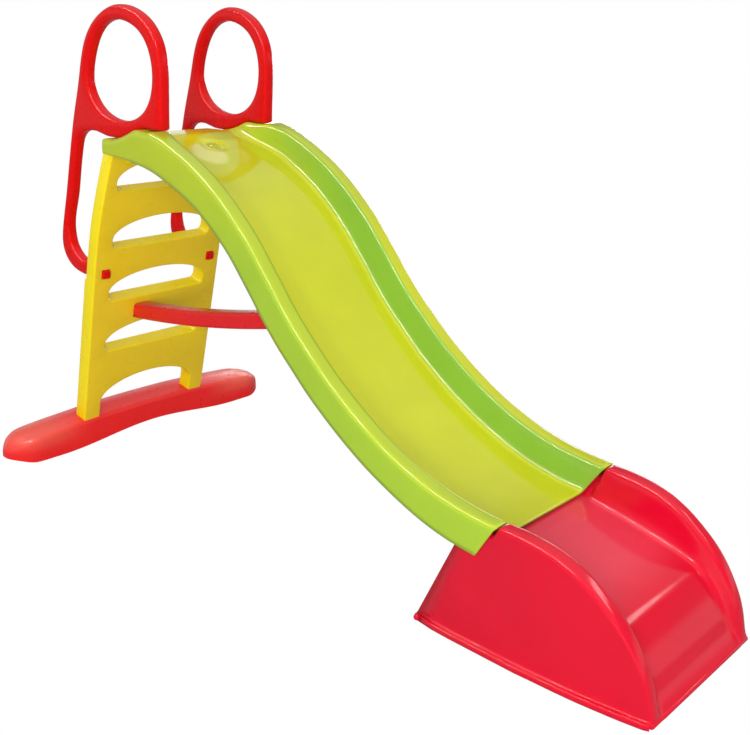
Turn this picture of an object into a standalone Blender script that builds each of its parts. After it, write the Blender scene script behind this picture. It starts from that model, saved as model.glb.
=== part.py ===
"""Free-standing children's slide: wavy chute, run-out foot, ladder panel, base
foot, two hand grips, brace, water inlet and the screws that join them.
Metres, Z up. X runs downhill, +Y is the rider's left."""

import math

import bmesh
import bpy
import numpy as np
from mathutils import Matrix, Vector
from mathutils.geometry import tessellate_polygon

# ------------------------------------------------------------- driving sizes
X_SHIFT, Y_SHIFT = 0.0395, -0.0175  # put the middle of the length and width on the origin
WALL = 0.0045  # moulded wall of the shells
GAP = 0.0006  # gap left between neighbouring pieces

# chute
SKIRT_Y = 0.190  # half width over the skirts
RAIL_IN_Y = 0.152  # inner edge of the rail top
BED_Y = 0.134  # half width of the flat bed
REAR_R = 0.018  # rounding of the rear corners
END_X, END_Z, END_SLOPE = 0.497, 0.179, 0.606  # slanted plane of the lower end
CREST = [
    (-0.5920, 0.8405), (-0.550, 0.8417), (-0.480, 0.8425), (-0.423, 0.8390),
    (-0.375, 0.8290), (-0.327, 0.8110), (-0.283, 0.7910), (-0.246, 0.7710),
    (-0.212, 0.7500), (-0.184, 0.7300), (-0.137, 0.6910), (-0.096, 0.6520),
    (-0.061, 0.6120), (-0.028, 0.5730), (0.004, 0.5340), (0.041, 0.4945),
    (0.081, 0.4575), (0.123, 0.4200), (0.168, 0.3860), (0.217, 0.3530),
    (0.270, 0.3220), (0.331, 0.2940), (0.401, 0.2700), (0.470, 0.2560),
    (0.541, 0.2490),
]
SADDLE = [  # where the rail top carries the hand grip: x, height
    (-0.660, 0.8235), (-0.640, 0.8190), (-0.610, 0.8135), (-0.570, 0.8125),
    (-0.535, 0.8180), (-0.500, 0.8280), (-0.466, 0.8385), (-0.445, 0.8365),
    (-0.425, 0.8360), (-0.405, 0.8375), (-0.385, 0.8315),
]
BED_DEPTH = [  # x of the crest, depth of the bed below it
    (-0.6240, 0.021), (-0.560, 0.023), (-0.510, 0.026), (-0.460, 0.036),
    (-0.410, 0.047), (-0.350, 0.053), (-0.250, 0.055), (0.0, 0.056), (0.541, 0.054),
]
SKIRT_DEPTH = [
    (-0.6240, 0.057), (-0.560, 0.064), (-0.500, 0.070), (-0.440, 0.077),
    (-0.380, 0.079), (-0.300, 0.077), (-0.210, 0.071), (-0.100, 0.067),
    (0.100, 0.066), (0.541, 0.067),
]

# ladder
LEAN = 0.29  # slope of the ladder, x per z
LADDER_X0 = -0.802 - LEAN * 0.077  # front face at floor height
LADDER_T, LADDER_T_TOP = 0.045, 0.036  # panel thickness below and above the notch
NOTCH_Z = 0.4525  # front-face height of the step that is at 0.4655 on the back
LADDER_Y = 0.187
LADDER_TOP = 0.776
LEG_BOTTOM = 0.036
OPEN_Y = 0.142
OPEN_BOTTOMS = (0.263, 0.404, 0.543, 0.684)
OPEN_LOW, OPEN_RISE = 0.022, 0.048
ARCH_LOW, ARCH_RISE = 0.115, 0.060
SHELL = 0.0038  # wall of the ladder moulding

# base foot
FOOT_FRONT, FOOT_BACK = -0.798, -0.927
FOOT_HALF, FOOT_Y = 0.4025, 0.0175  # half length and middle across
FOOT_ARCH, FOOT_TIP = 0.022, 0.011  # rise of the underside in the middle and at the tips

# hand grips
GRIP_T = 0.030
GRIP_Y, GRIP_TOE = 0.1445, 0.040  # plane of a grip: y = GRIP_Y + GRIP_TOE * (GRIP_X - x)
GRIP_X = -0.415
GRIP_EDGE = 0.011
TENON_Z, TENON_W, TENON_H = 0.484, 0.021, 0.020
TENON_OUT = 0.006

# brace
BRACE_MID, BRACE_Y, BRACE_H = -0.0485, 0.0225, 0.039  # middle across, half width, height
BRACE_PIN = (-0.078, 0.4625)

# screws
SHANK_R, HOLE_R, HEAD_R = 0.0020, 0.0024, 0.0048
SEG = 10

ALPHA = math.atan(LEAN)
T_AXIS = Vector((math.sin(ALPHA), 0, math.cos(ALPHA)))
N_AXIS = Vector((math.cos(ALPHA), 0, -math.sin(ALPHA)))

COLOURS = {
    "chute": (0.55, 0.62, 0.035), "ladder": (0.76, 0.53, 0.02), "red": (0.78, 0.02, 0.03),
    "screw": (0.35, 0.35, 0.36), "inlet": (0.62, 0.66, 0.12),
}


# ------------------------------------------------------------------- helpers
def table(rows, at):
    """Smooth curve through the rows (x, value), cubic Hermite with limited slopes."""
    xs = np.array([r[0] for r in rows])
    ys = np.array([r[1] for r in rows])
    at = min(max(at, xs[0]), xs[-1])
    i = min(max(int(np.searchsorted(xs, at)) - 1, 0), len(xs) - 2)
    d = np.diff(ys) / np.diff(xs)

    def slope(k):
        if k == 0:
            return d[0]
        if k == len(xs) - 1:
            return d[-1]
        if d[k - 1] * d[k] <= 0:
            return 0.0
        return 2 * d[k - 1] * d[k] / (d[k - 1] + d[k])

    h = xs[i + 1] - xs[i]
    t = (at - xs[i]) / h
    a, b = slope(i) * h, slope(i + 1) * h
    return (
        ys[i] * (1 + 2 * t) * (1 - t) ** 2 + a * t * (1 - t) ** 2
        + ys[i + 1] * t * t * (3 - 2 * t) + b * t * t * (t - 1)
    )


def through(points, count, closed=False):
    """Points spaced evenly on a smooth curve through the given ones."""
    p = [Vector(q) for q in points]
    n = len(p)
    dense = []
    spans = n if closed else n - 1
    for i in range(spans):
        a, b = p[i], p[(i + 1) % n]
        before = p[(i - 1) % n] if closed or i else a - (b - a)
        after = p[(i + 2) % n] if closed or i + 2 < n else b + (b - a)
        l0, l1, l2 = (a - before).length, (b - a).length, (after - b).length
        m0 = ((a - before) / l0 * l1 + (b - a) / l1 * l0) / (l0 + l1) * l1
        m1 = ((b - a) / l1 * l2 + (after - b) / l2 * l1) / (l1 + l2) * l1
        for k in range(12):
            t = k / 12
            dense.append(
                a * ((1 + 2 * t) * (1 - t) ** 2) + m0 * (t * (1 - t) ** 2)
                + b * (t * t * (3 - 2 * t)) + m1 * (t * t * (t - 1))
            )
    dense.append(p[0] if closed else p[-1])
    lengths = np.concatenate([[0], np.cumsum([(b - a).length for a, b in zip(dense, dense[1:])])])
    out = []
    for k in range(count):
        s = lengths[-1] * k / (count if closed else count - 1)
        i = min(int(np.searchsorted(lengths, s, side="right")) - 1, len(dense) - 2)
        f = (s - lengths[i]) / max(lengths[i + 1] - lengths[i], 1e-12)
        out.append(dense[i].lerp(dense[i + 1], f))
    return out


def filleted(corners, radii, steps):
    """Polyline whose inner corners are rounded: one start point, then steps + 1 points per corner, then the end."""
    c = [Vector(q) for q in corners]
    out = [c[0]]
    for i in range(1, len(c) - 1):
        a, b = c[i - 1] - c[i], c[i + 1] - c[i]
        la, lb = max(a.length, 1e-9), max(b.length, 1e-9)
        d = min(radii[i - 1], 0.46 * la, 0.46 * lb)
        p, q = c[i] + a / la * d, c[i] + b / lb * d
        n = steps[i - 1]
        for k in range(n + 1):
            t = k / n
            out.append(p * (1 - t) ** 2 + c[i] * (2 * t * (1 - t)) + q * t * t)
    out.append(c[-1])
    return out


def make(name, bm, colour, smooth=True, angle=35):
    bmesh.ops.remove_doubles(bm, verts=bm.verts, dist=2e-6)
    bmesh.ops.dissolve_degenerate(bm, edges=bm.edges, dist=2e-6)
    bmesh.ops.recalc_face_normals(bm, faces=bm.faces)
    mesh = bpy.data.meshes.new(name)
    bm.to_mesh(mesh)
    bm.free()
    obj = bpy.data.objects.new(name, mesh)
    bpy.context.scene.collection.objects.link(obj)
    if smooth:
        mesh.polygons.foreach_set("use_smooth", [True] * len(mesh.polygons))
        mesh.set_sharp_from_angle(angle=math.radians(angle))
    material = bpy.data.materials.new(name)
    material.use_nodes = True
    shader = material.node_tree.nodes["Principled BSDF"]
    shader.inputs["Base Color"].default_value = (*COLOURS[colour], 1)
    shader.inputs["Roughness"].default_value = 0.35 if colour == "screw" else 0.28
    shader.inputs["Metallic"].default_value = 1.0 if colour == "screw" else 0.0
    mesh.materials.append(material)
    return obj


def baked(obj):
    """The object with its modifiers applied to its mesh."""
    graph = bpy.context.evaluated_depsgraph_get()
    graph.update()
    mesh = bpy.data.meshes.new_from_object(obj.evaluated_get(graph))
    old = obj.data
    obj.modifiers.clear()
    obj.data = mesh
    bpy.data.meshes.remove(old)
    return obj


def cut(obj, cutters, operation="DIFFERENCE"):
    for cutter in cutters:
        modifier = obj.modifiers.new("cut", "BOOLEAN")
        modifier.operation = operation
        modifier.solver = "EXACT"
        modifier.object = cutter
    bpy.context.view_layer.update()
    baked(obj)
    for cutter in cutters:
        bpy.data.objects.remove(cutter)
    return obj


def grid(bm, rows, closed=False):
    """Quads between rows of points."""
    verts = [[bm.verts.new(p) for p in row] for row in rows]
    for a, b in zip(verts, verts[1:]):
        n = len(a)
        for i in range(n if closed else n - 1):
            j = (i + 1) % n
            bm.faces.new((a[i], a[j], b[j], b[i]))
    return verts


def thickened(obj, thickness):
    """Solidify inwards by the wall, with even thickness."""
    modifier = obj.modifiers.new("wall", "SOLIDIFY")
    modifier.thickness = thickness
    modifier.offset = -1
    modifier.use_even_offset = True
    modifier.use_quality_normals = True
    modifier.use_rim = True
    bpy.context.view_layer.update()
    return baked(obj)


def lathe(bm, profile, origin, axis, segments=SEG, turn=0.0):
    """Closed solid of revolution; profile is (distance along axis, radius) and ends at radius 0."""
    axis = Vector(axis).normalized()
    side = axis.orthogonal().normalized()
    other = axis.cross(side)
    rows = []
    for along, radius in profile:
        centre = Vector(origin) + axis * along
        if radius <= 0:
            rows.append([bm.verts.new(centre)])
            continue
        ring = []
        for k in range(segments):
            a = 2 * math.pi * (k + turn) / segments
            ring.append(bm.verts.new(centre + (side * math.cos(a) + other * math.sin(a)) * radius))
        rows.append(ring)
    for a, b in zip(rows, rows[1:]):
        for k in range(segments):
            j = (k + 1) % segments
            if len(a) == 1:
                bm.faces.new((a[0], b[k], b[j]))
            elif len(b) == 1:
                bm.faces.new((a[k], a[j], b[0]))
            else:
                bm.faces.new((a[k], a[j], b[j], b[k]))


def helper(bm):
    """A cutter or an add-on, kept out of the picture until it is used."""
    bmesh.ops.recalc_face_normals(bm, faces=bm.faces)
    mesh = bpy.data.meshes.new("helper")
    bm.to_mesh(mesh)
    bm.free()
    obj = bpy.data.objects.new("helper", mesh)
    bpy.context.scene.collection.objects.link(obj)
    obj.hide_render = True
    obj.display_type = "WIRE"
    return obj


def rod(origin, axis, length, radius, segments=SEG):
    bm = bmesh.new()
    lathe(bm, [(0, 0), (0, radius), (length, radius), (length, 0)], origin, axis, segments)
    return helper(bm)


def block(x0, x1, y0, y1, z0, z1):
    bm = bmesh.new()
    corners = [[bm.verts.new((x, y, z)) for x, y in ((x0, y0), (x1, y0), (x1, y1), (x0, y1))] for z in (z0, z1)]
    bm.faces.new(corners[0])
    bm.faces.new(corners[1])
    for i in range(4):
        j = (i + 1) % 4
        bm.faces.new((corners[0][i], corners[0][j], corners[1][j], corners[1][i]))
    return helper(bm)


def prism(points, y0, y1):
    """Straight prism along Y over an outline in X and Z."""
    bm = bmesh.new()
    rings = [[bm.verts.new((x, y, z)) for x, z in points] for y in (y0, y1)]
    bm.faces.new(rings[0])
    bm.faces.new(rings[1])
    n = len(points)
    for i in range(n):
        j = (i + 1) % n
        bm.faces.new((rings[0][i], rings[0][j], rings[1][j], rings[1][i]))
    return helper(bm)


def screw(name, seat, axis, length):
    """Pan-head screw: its head's underside sits at seat, its shank runs along axis."""
    bm = bmesh.new()
    lathe(
        bm,
        [(-0.0030, 0), (-0.0030, 0.0030), (-0.0018, HEAD_R), (-0.0001, HEAD_R), (-0.0001, SHANK_R),
         (length - 0.003, SHANK_R), (length, 0)],
        seat, axis,
    )
    return make(name, bm, "screw")


def walls(bm, loops):
    for ring_a, ring_b in zip(loops, loops[1:]):
        n = len(ring_a)
        for i in range(n):
            j = (i + 1) % n
            bm.faces.new((ring_a[i], ring_a[j], ring_b[j], ring_b[i]))


def inset(points, distance):
    """Closed outline moved inwards (to the left of its direction of travel) by distance."""
    n = len(points)
    out = []
    for i in range(n):
        a = (points[i] - points[i - 1]).normalized()
        b = (points[(i + 1) % n] - points[i]).normalized()
        na, nb = Vector((-a.y, a.x)), Vector((-b.y, b.x))
        m = na + nb
        if m.length < 1e-6:
            m = na
        m.normalize()
        out.append(points[i] + m * (distance / max(m.dot(nb), 0.5)))
    return out


def area(points):
    return 0.5 * sum(p.x * q.y - q.x * p.y for p, q in zip(points, points[1:] + points[:1]))


def faces_between(bm, loops):
    """Fills the flat region inside the first loop and outside the others; each loop is a list of (vertex, 2D point)."""
    flat = [v for loop in loops for v, _ in loop]
    for tri in tessellate_polygon([[Vector((p.x, p.y, 0)) for _, p in loop] for loop in loops]):
        try:
            bm.faces.new([flat[i] for i in tri])
        except ValueError:
            pass


# --------------------------------------------------------------------- chute
def even(count):
    return [k / (count - 1) for k in range(count)]


def crest_frames(fractions):
    """Point and direction of the crest line (x, z, tx, tz) at these fractions of its length."""
    pts = through([(x, z, 0) for x, z in CREST], 400)
    lengths = np.concatenate([[0], np.cumsum([(b - a).length for a, b in zip(pts, pts[1:])])])
    frames = []
    for fraction in fractions:
        s = lengths[-1] * fraction
        i = min(int(np.searchsorted(lengths, s, side="right")) - 1, len(pts) - 2)
        f = (s - lengths[i]) / (lengths[i + 1] - lengths[i])
        p = pts[i].lerp(pts[i + 1], f)
        lo, hi = max(i - 4, 0), min(i + 5, len(pts) - 1)
        t = (pts[hi] - pts[lo]).normalized()
        frames.append((p.x, p.y, t.x, t.y))
    return frames


def rail_drop(x, z):
    """How far the rail top lies below the crest line where it carries the grip."""
    if x > -0.385:
        return 0.0
    return max(z - table(SADDLE, x), 0.0)


def chute_section(x, z, tx, tz):
    ease = min(max((x + 0.47) / 0.14, 0), 1)
    ease = ease * ease * (3 - 2 * ease)
    rail_in = 0.122 + (RAIL_IN_Y - 0.122) * ease
    foot = 0.106 + (BED_Y - 0.106) * ease
    drop, bed, skirt = rail_drop(x, z), table(BED_DEPTH, x), table(SKIRT_DEPTH, x)
    corners = [
        (SKIRT_Y, -skirt, 0), (SKIRT_Y - 0.001, -drop, 0), (rail_in, -drop, 0), (foot, -bed, 0), (0, -bed, 0),
    ]
    half = filleted(corners, (0.016, 0.010, 0.013), (3, 2, 2))
    nx, nz = -tz, tx
    slide = min(max((x - 0.30) / 0.24, 0), 1)  # the section turns to the slant of the lower end
    rows = []
    for y, n, _ in half:
        px, pz = x + nx * n, z + nz * n
        px += slide * (END_SLOPE * n * nz - (nx * n))
        rows.append((px, y, pz))
    return rows[:-1] + [(px, -y, pz) for px, y, pz in reversed(rows)]


def chute():
    bm = bmesh.new()
    stations = [0.18 * u for u in even(12)] + [0.18 + 0.82 * u for u in even(22)[1:]]
    rows = [chute_section(*f) for f in crest_frames(stations)]
    first = rows[0]
    x0 = first[0][0]
    corner = []
    for k in (4, 3, 2, 1):
        a = math.pi / 2 * k / 4
        back, inward = REAR_R * math.sin(a), REAR_R * (1 - math.cos(a))
        row = []
        for x, y, z in first:
            # side walls round the corner in plan, the top rounds it in elevation
            up = min(max((z - 0.790) / 0.022, 0), 1)
            side = min(max((abs(y) - 0.150) / 0.040, 0), 1)
            row.append((x0 - back, y - math.copysign(inward * side, y), z - inward * (1 - side) * up))
        corner.append(row)
    rows = corner + rows
    verts = grid(bm, rows)
    bm.faces.new(list(reversed(verts[0])))
    obj = thickened(make("chute", bm, "chute"), WALL)
    return obj


# ------------------------------------------------------------------- run-out
RUNOUT = [
    # flange x, y | rim x, z, outer y, inner y | bed x, z, y
    (0.368, 0.193, 0.4760, 0.2345, 0.1835, 0.158, 0.4590, 0.1930, 0.1395),
    (0.415, 0.199, 0.4950, 0.2320, 0.1835, 0.158, 0.4780, 0.1900, 0.1395),
    (0.455, 0.200, 0.5130, 0.2300, 0.1835, 0.158, 0.4960, 0.1875, 0.1395),
    (0.490, 0.200, 0.5310, 0.2290, 0.1835, 0.158, 0.5150, 0.1850, 0.1395),
    (0.510, 0.200, 0.5465, 0.2490, 0.1840, 0.153, 0.5350, 0.1830, 0.1345),
    (0.545, 0.200, 0.5770, 0.2480, 0.1838, 0.151, 0.5640, 0.1780, 0.1325),
    (0.590, 0.200, 0.6150, 0.2440, 0.1830, 0.150, 0.6000, 0.1715, 0.132),
    (0.635, 0.198, 0.6580, 0.2345, 0.1815, 0.149, 0.6420, 0.1625, 0.131),
    (0.680, 0.196, 0.7000, 0.2160, 0.1800, 0.148, 0.6850, 0.1520, 0.131),
    (0.722, 0.193, 0.7400, 0.1890, 0.1780, 0.147, 0.7250, 0.1405, 0.131),
    (0.758, 0.189, 0.7760, 0.1570, 0.1755, 0.146, 0.7570, 0.1270, 0.131),
    (0.790, 0.185, 0.8060, 0.1170, 0.1725, 0.145, 0.7880, 0.0960, 0.132),
    (0.815, 0.181, 0.8280, 0.0740, 0.1700, 0.145, 0.8120, 0.0600, 0.133),
    (0.832, 0.178, 0.8400, 0.0340, 0.1670, 0.146, 0.8300, 0.0270, 0.134),
    (0.8425, 0.174, 0.8465, 0.0045, 0.1640, 0.150, 0.8480, 0.0045, 0.136),
]


def runout_row(c):
    fx, fy, rx, rz, ro, ri, bx, bz, by = c
    low = 0.0045
    foot_y = fy - 0.010
    last = rz <= low + 1e-6
    foot_y = max(foot_y, ro + 0.0015) if not last else 0.169
    corners = [
        (fx, fy, low), (fx if not last else fx + 0.002, foot_y, low), (rx, ro, rz),
        (rx, ri, rz), (bx, by, bz), (bx, 0, bz),
    ]
    half = filleted(corners, (0.006, 0.015, 0.010, 0.013), (2, 3, 2, 2))
    half = [tuple(p) for p in half]
    return half[:-1] + [(x, -y, z) for x, y, z in reversed(half)]


def run_out():
    rows = []
    data = np.array(RUNOUT)
    for i in range(len(data)):
        rows.append(runout_row(data[i]))
        if 7 <= i < len(data) - 1:
            lo, hi = max(i - 1, 4), min(i + 2, len(data) - 1)
            mid = (data[i] + data[i + 1]) / 2
            if i > 4 and i + 2 <= len(data) - 1:
                mid = (9 * (data[i] + data[i + 1]) - data[lo] - data[hi]) / 16
            mid[3], mid[7] = max(mid[3], 0.012), max(mid[7], 0.010)
            rows.append(runout_row(mid))
    bm = bmesh.new()
    grid(bm, rows)
    obj = thickened(make("run_out_foot", bm, "red"), WALL)
    low = [v for v in obj.data.vertices if v.co.z < 0.0012]
    for v in low:
        v.co.z = 0.0
    return obj


# -------------------------------------------------------------------- ladder
def on_ladder(y, z, w):
    """Point of the ladder: y across, z height on the front face, w forward of that face."""
    return Vector((LADDER_X0, 0, 0)) + T_AXIS * (z / math.cos(ALPHA)) + N_AXIS * w + Vector((0, y, 0))


def ladder_outline():
    right = [(LADDER_Y, LEG_BOTTOM), (LADDER_Y, 0.20), (LADDER_Y, 0.38), (LADDER_Y, NOTCH_Z - 0.004), (LADDER_Y, NOTCH_Z + 0.004)]
    curve = through([(0.187, 0.50, 0), (0.184, 0.597, 0), (0.1755, 0.68, 0), (0.1650, 0.754, 0), (0.1630, 0.765, 0)], 8)
    right += [(p.x, p.y) for p in curve]
    right += [(0.1585, 0.7735), (0.151, LADDER_TOP)]
    arch = [(OPEN_Y, LEG_BOTTOM), (OPEN_Y, ARCH_LOW - 0.02)]
    for k in range(13):
        a = math.pi * k / 12
        arch.append((OPEN_Y * math.cos(a), ARCH_LOW + ARCH_RISE * math.sin(a)))
    arch += [(-OPEN_Y, ARCH_LOW - 0.02), (-OPEN_Y, LEG_BOTTOM)]
    left = [(-y, z) for y, z in reversed(right)]
    # anticlockwise seen from the front
    return [Vector(p) for p in right + left + list(reversed(arch))]


def opening(bottom):
    """D-shaped hole, clockwise, so that its inside is the panel's outside."""
    r = 0.012
    pts = [(OPEN_Y - r, bottom), (OPEN_Y - r * 0.3, bottom + r * 0.3), (OPEN_Y, bottom + r)]
    for k in range(13):
        a = math.pi * k / 12
        pts.append((OPEN_Y * math.cos(a), bottom + OPEN_LOW + OPEN_RISE * math.sin(a)))
    pts += [(-OPEN_Y, bottom + r), (-OPEN_Y + r * 0.3, bottom + r * 0.3), (-OPEN_Y + r, bottom)]
    pts.insert(0, (0, bottom))
    return [Vector(p) for p in reversed(pts)]


def square(y, z, h, v):
    return [Vector(p) for p in ((y - h, z - v), (y - h, z + v), (y + h, z + v), (y + h, z - v))]


def tenon_y():
    x = LADDER_X0 + LEAN * TENON_Z - 0.02
    return GRIP_Y + GRIP_TOE * (GRIP_X - x)


def panel(loops, front, back, edge):
    """Flat closed solid of the ladder's outline and holes between two planes; edge is the chamfer of its rims."""
    bm = bmesh.new()
    ends = ([], [])
    for ring in loops:
        face = inset(ring, edge) if edge else ring
        rings = [[bm.verts.new(on_ladder(p.x, p.y, front)) for p in face]]
        if edge:
            rings.append([bm.verts.new(on_ladder(p.x, p.y, front - edge)) for p in ring])
            rings.append([bm.verts.new(on_ladder(p.x, p.y, back + edge)) for p in ring])
        rings.append([bm.verts.new(on_ladder(p.x, p.y, back)) for p in face])
        walls(bm, rings)
        ends[0].append(list(zip(rings[0], face)))
        ends[1].append(list(zip(rings[-1], face)))
    for end in ends:
        faces_between(bm, end)
    return bm


def behind_notch(start, depth):
    """Cutter for everything above the notch that lies further back than the thin upper part."""
    bm = bmesh.new()
    rings = [
        [bm.verts.new(on_ladder(y, start, w) + T_AXIS * up) for y, w in ((-0.25, -depth), (0.25, -depth), (0.25, -0.08), (-0.25, -0.08))]
        for up in (0, 0.45)
    ]
    bm.faces.new(rings[0])
    bm.faces.new(rings[1])
    walls(bm, rings)
    return helper(bm)


def ladder():
    """Hollow moulded panel, closed front and back, with the treads as the floors of its openings."""
    outline = ladder_outline()
    if area(outline) < 0:
        outline.reverse()
    loops = [outline] + [opening(b) for b in OPEN_BOTTOMS]
    loops += [square(s * tenon_y(), TENON_Z - 0.004, TENON_W / 2 + 0.0008, TENON_H / 2 + 0.0016) for s in (1, -1)]
    for ring in loops[1:]:
        if area(ring) > 0:
            ring.reverse()
    outer = make("ladder", panel(loops, 0, -LADDER_T, 0.0022), "ladder", angle=50)
    cut(outer, [behind_notch(NOTCH_Z, LADDER_T_TOP)])
    hollow = helper(panel([inset(ring, SHELL) for ring in loops], -SHELL, SHELL - LADDER_T, 0))
    cut(hollow, [behind_notch(NOTCH_Z - SHELL, LADDER_T_TOP - SHELL)])
    return cut(outer, [hollow])


# ----------------------------------------------------------------- base foot
def foot_low(y):
    """Height of the underside: arched in the middle, flat on the floor, lifted at the tips."""
    a = abs(y - FOOT_Y)
    t = min(max((a - 0.345) / 0.0575, 0), 1)
    return FOOT_ARCH * 0.5 * (1 + math.cos(math.pi * min(a / 0.28, 1))) + FOOT_TIP * t * t * (3 - 2 * t)


def foot_row(y):
    a = abs(y - FOOT_Y)
    centre = (FOOT_FRONT + FOOT_BACK) / 2
    half = (FOOT_FRONT - FOOT_BACK) / 2
    y0 = FOOT_HALF - 0.075
    if a > y0:
        half *= math.sqrt(max(1 - ((a - y0) / (FOOT_HALF - y0 + 0.0006)) ** 2, 0))
        half = max(half, 0.006)
    top = table([(0, 0.0870), (0.10, 0.0860), (0.20, 0.0810), (0.30, 0.0745), (0.35, 0.0690), (0.38, 0.058), (FOOT_HALF, 0.034)], a)
    low = foot_low(y)
    edge = top - min(0.009, 0.3 * half)
    corners = [
        (centre + half, y, low), (centre + half, y, edge), (centre + 0.1 * half, y, top + 0.001),
        (centre - 0.85 * half, y, edge - 0.001), (centre - half, y, low),
    ]
    row = filleted(corners, (0.013, 0.03, 0.014), (3, 3, 3))
    return [tuple(p) for p in row]


def base_foot():
    ys = [FOOT_HALF, 0.4008, 0.396, 0.388, 0.376, 0.361, 0.343, 0.312, 0.26, 0.20, 0.14, 0.07]
    ys = [FOOT_Y - y for y in ys] + [FOOT_Y] + [FOOT_Y + y for y in reversed(ys)]
    bm = bmesh.new()
    verts = grid(bm, [foot_row(y) for y in ys], closed=True)
    bm.faces.new(list(reversed(verts[0])))
    bm.faces.new(verts[-1])
    obj = make("base_foot", bm, "red")
    cutters = [
        block(FOOT_BACK + 0.0075, FOOT_FRONT - 0.0065, -0.124, 0.124, -0.02, 0.064),
        block(FOOT_BACK + 0.0085, FOOT_FRONT - 0.0065, 0.206, 0.315, -0.02, 0.052),
        block(FOOT_BACK + 0.0085, FOOT_FRONT - 0.0065, -0.280, -0.206, -0.02, 0.052),
    ]
    for s in (1, -1):
        bm = bmesh.new()
        y0, y1 = OPEN_Y - GAP, LADDER_Y + GAP
        lower = [on_ladder(y, LEG_BOTTOM - GAP, w) for y, w in ((y0, GAP), (y1, GAP), (y1, -LADDER_T - GAP), (y0, -LADDER_T - GAP))]
        upper = [p + T_AXIS * 0.10 for p in lower]
        rings = [[bm.verts.new((p.x, s * p.y, p.z)) for p in ring] for ring in (lower, upper)]
        bm.faces.new(rings[0])
        bm.faces.new(rings[1])
        for i in range(4):
            j = (i + 1) % 4
            bm.faces.new((rings[0][i], rings[0][j], rings[1][j], rings[1][i]))
        cutters.append(helper(bm))
        seat = leg_seat(s)
        cutters.append(rod(seat - T_AXIS * 0.05, T_AXIS, 0.05, 0.0062))
        cutters.append(rod(seat - T_AXIS * 0.002, T_AXIS, 0.04, HOLE_R))
    return cut(obj, cutters)


# ---------------------------------------------------------------- hand grips
GRIP_OUTER = [
    (-0.400, 0.920), (-0.396, 0.975), (-0.400, 1.006), (-0.414, 1.036), (-0.442, 1.066),
    (-0.480, 1.086), (-0.545, 1.098), (-0.597, 1.085), (-0.636, 1.064), (-0.668, 1.034),
    (-0.692, 0.990), (-0.711, 0.937), (-0.748, 0.850), (-0.776, 0.771), (-0.809, 0.672),
    (-0.844, 0.575), (-0.852, 0.545), (-0.848, 0.518), (-0.829, 0.491), (-0.800, 0.4745),
    (-0.765, 0.4690),
]
GRIP_BACK = [
    (-0.765, 0.5050), (-0.790, 0.5160), (-0.812, 0.538), (-0.818, 0.565), (-0.784, 0.672),
    (-0.752, 0.771), (-0.738, 0.803), (-0.715, 0.8190), (-0.690, 0.8240), (-0.660, 0.8235),
]
GRIP_HOLE = [
    (-0.551, 1.067), (-0.497, 1.057), (-0.455, 1.033), (-0.432, 0.993), (-0.429, 0.942),
    (-0.450, 0.892), (-0.497, 0.860), (-0.547, 0.851), (-0.605, 0.859), (-0.645, 0.878),
    (-0.672, 0.911), (-0.679, 0.942), (-0.664, 0.985), (-0.636, 1.030), (-0.604, 1.055),
]


def grip_outline():
    end = LADDER_X0 + LEAN * TENON_Z - LADDER_T_TOP / math.cos(ALPHA)
    outer = through([(x, z, 0) for x, z in GRIP_OUTER], 36)
    back = through([(x, z, 0) for x, z in GRIP_BACK], 15)
    points = [Vector((-0.405, 0.880))] + [Vector((p.x, p.y)) for p in outer]
    slant = LEAN  # the end follows the back of the ladder
    low, high = 0.4695, 0.5035
    for z in (low, (low + high) / 2, high):
        points.append(Vector((end - GAP + slant * (z - TENON_Z), z)))
    points += [Vector((p.x, p.y)) for p in back]
    xs = np.linspace(-0.648, -0.4125, 14)
    xs = sorted(set([round(float(x), 4) for x in xs] + [-0.466]))
    points += [Vector((x, table(SADDLE, x) + 2.5 * GAP)) for x in xs]
    points.append(Vector((-0.4065, table(SADDLE, -0.4065) + 2.5 * GAP + 0.004)))
    return points


def grip(name, s):
    outer = grip_outline()
    if area(outer) < 0:
        outer.reverse()
    hole = [Vector((p.x, p.y)) for p in through([(x, z, 0) for x, z in GRIP_HOLE], 24, closed=True)]
    if area(hole) > 0:
        hole.reverse()
    levels = []
    for k in range(3):  # from the flat face out to the rim
        a = math.pi / 2 * k / 2
        levels.append((GRIP_T / 2 - GRIP_EDGE * (1 - math.cos(a)), GRIP_EDGE * (1 - math.sin(a))))
    levels = levels + [(-h, d) for h, d in reversed(levels)]
    bm = bmesh.new()

    def place(p, h):
        y = s * (GRIP_Y + GRIP_TOE * (GRIP_X - p.x) + h)
        return bm.verts.new((p.x, y, p.y))

    caps = [[], []]
    for ring in (outer, hole):
        made = []
        for h, d in levels:
            flat = inset(ring, d * (1.0 if ring is hole else 0.92))
            verts = [place(p, h) for p in flat]
            made.append(verts)
            if h == levels[0][0]:
                caps[0].append(list(zip(verts, flat)))
            if h == levels[-1][0]:
                caps[1].append(list(zip(verts, flat)))
        walls(bm, made)
    for cap in caps:
        faces_between(bm, cap)
    obj = make(name, bm, "red")
    # tenon through the ladder's socket, showing as a small peg on its front
    y = s * tenon_y()
    bm = bmesh.new()
    rings = []
    for w, k in ((-LADDER_T_TOP - 0.012, 1.0), (TENON_OUT - 0.0015, 1.0), (TENON_OUT, 0.86)):
        ring = []
        for dy, dz in ((-1, -1), (1, -1), (1, 1), (-1, 1)):
            c = on_ladder(y + dy * TENON_W / 2 * k, TENON_Z - 0.004 + dz * TENON_H / 2 * k, w)
            ring.append(bm.verts.new(c))
        rings.append(ring)
    bm.faces.new(rings[0])
    bm.faces.new(rings[-1])
    for a, b in zip(rings, rings[1:]):
        for i in range(4):
            j = (i + 1) % 4
            bm.faces.new((a[i], a[j], b[j], b[i]))
    cut(obj, [helper(bm)], "UNION")
    return obj


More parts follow.
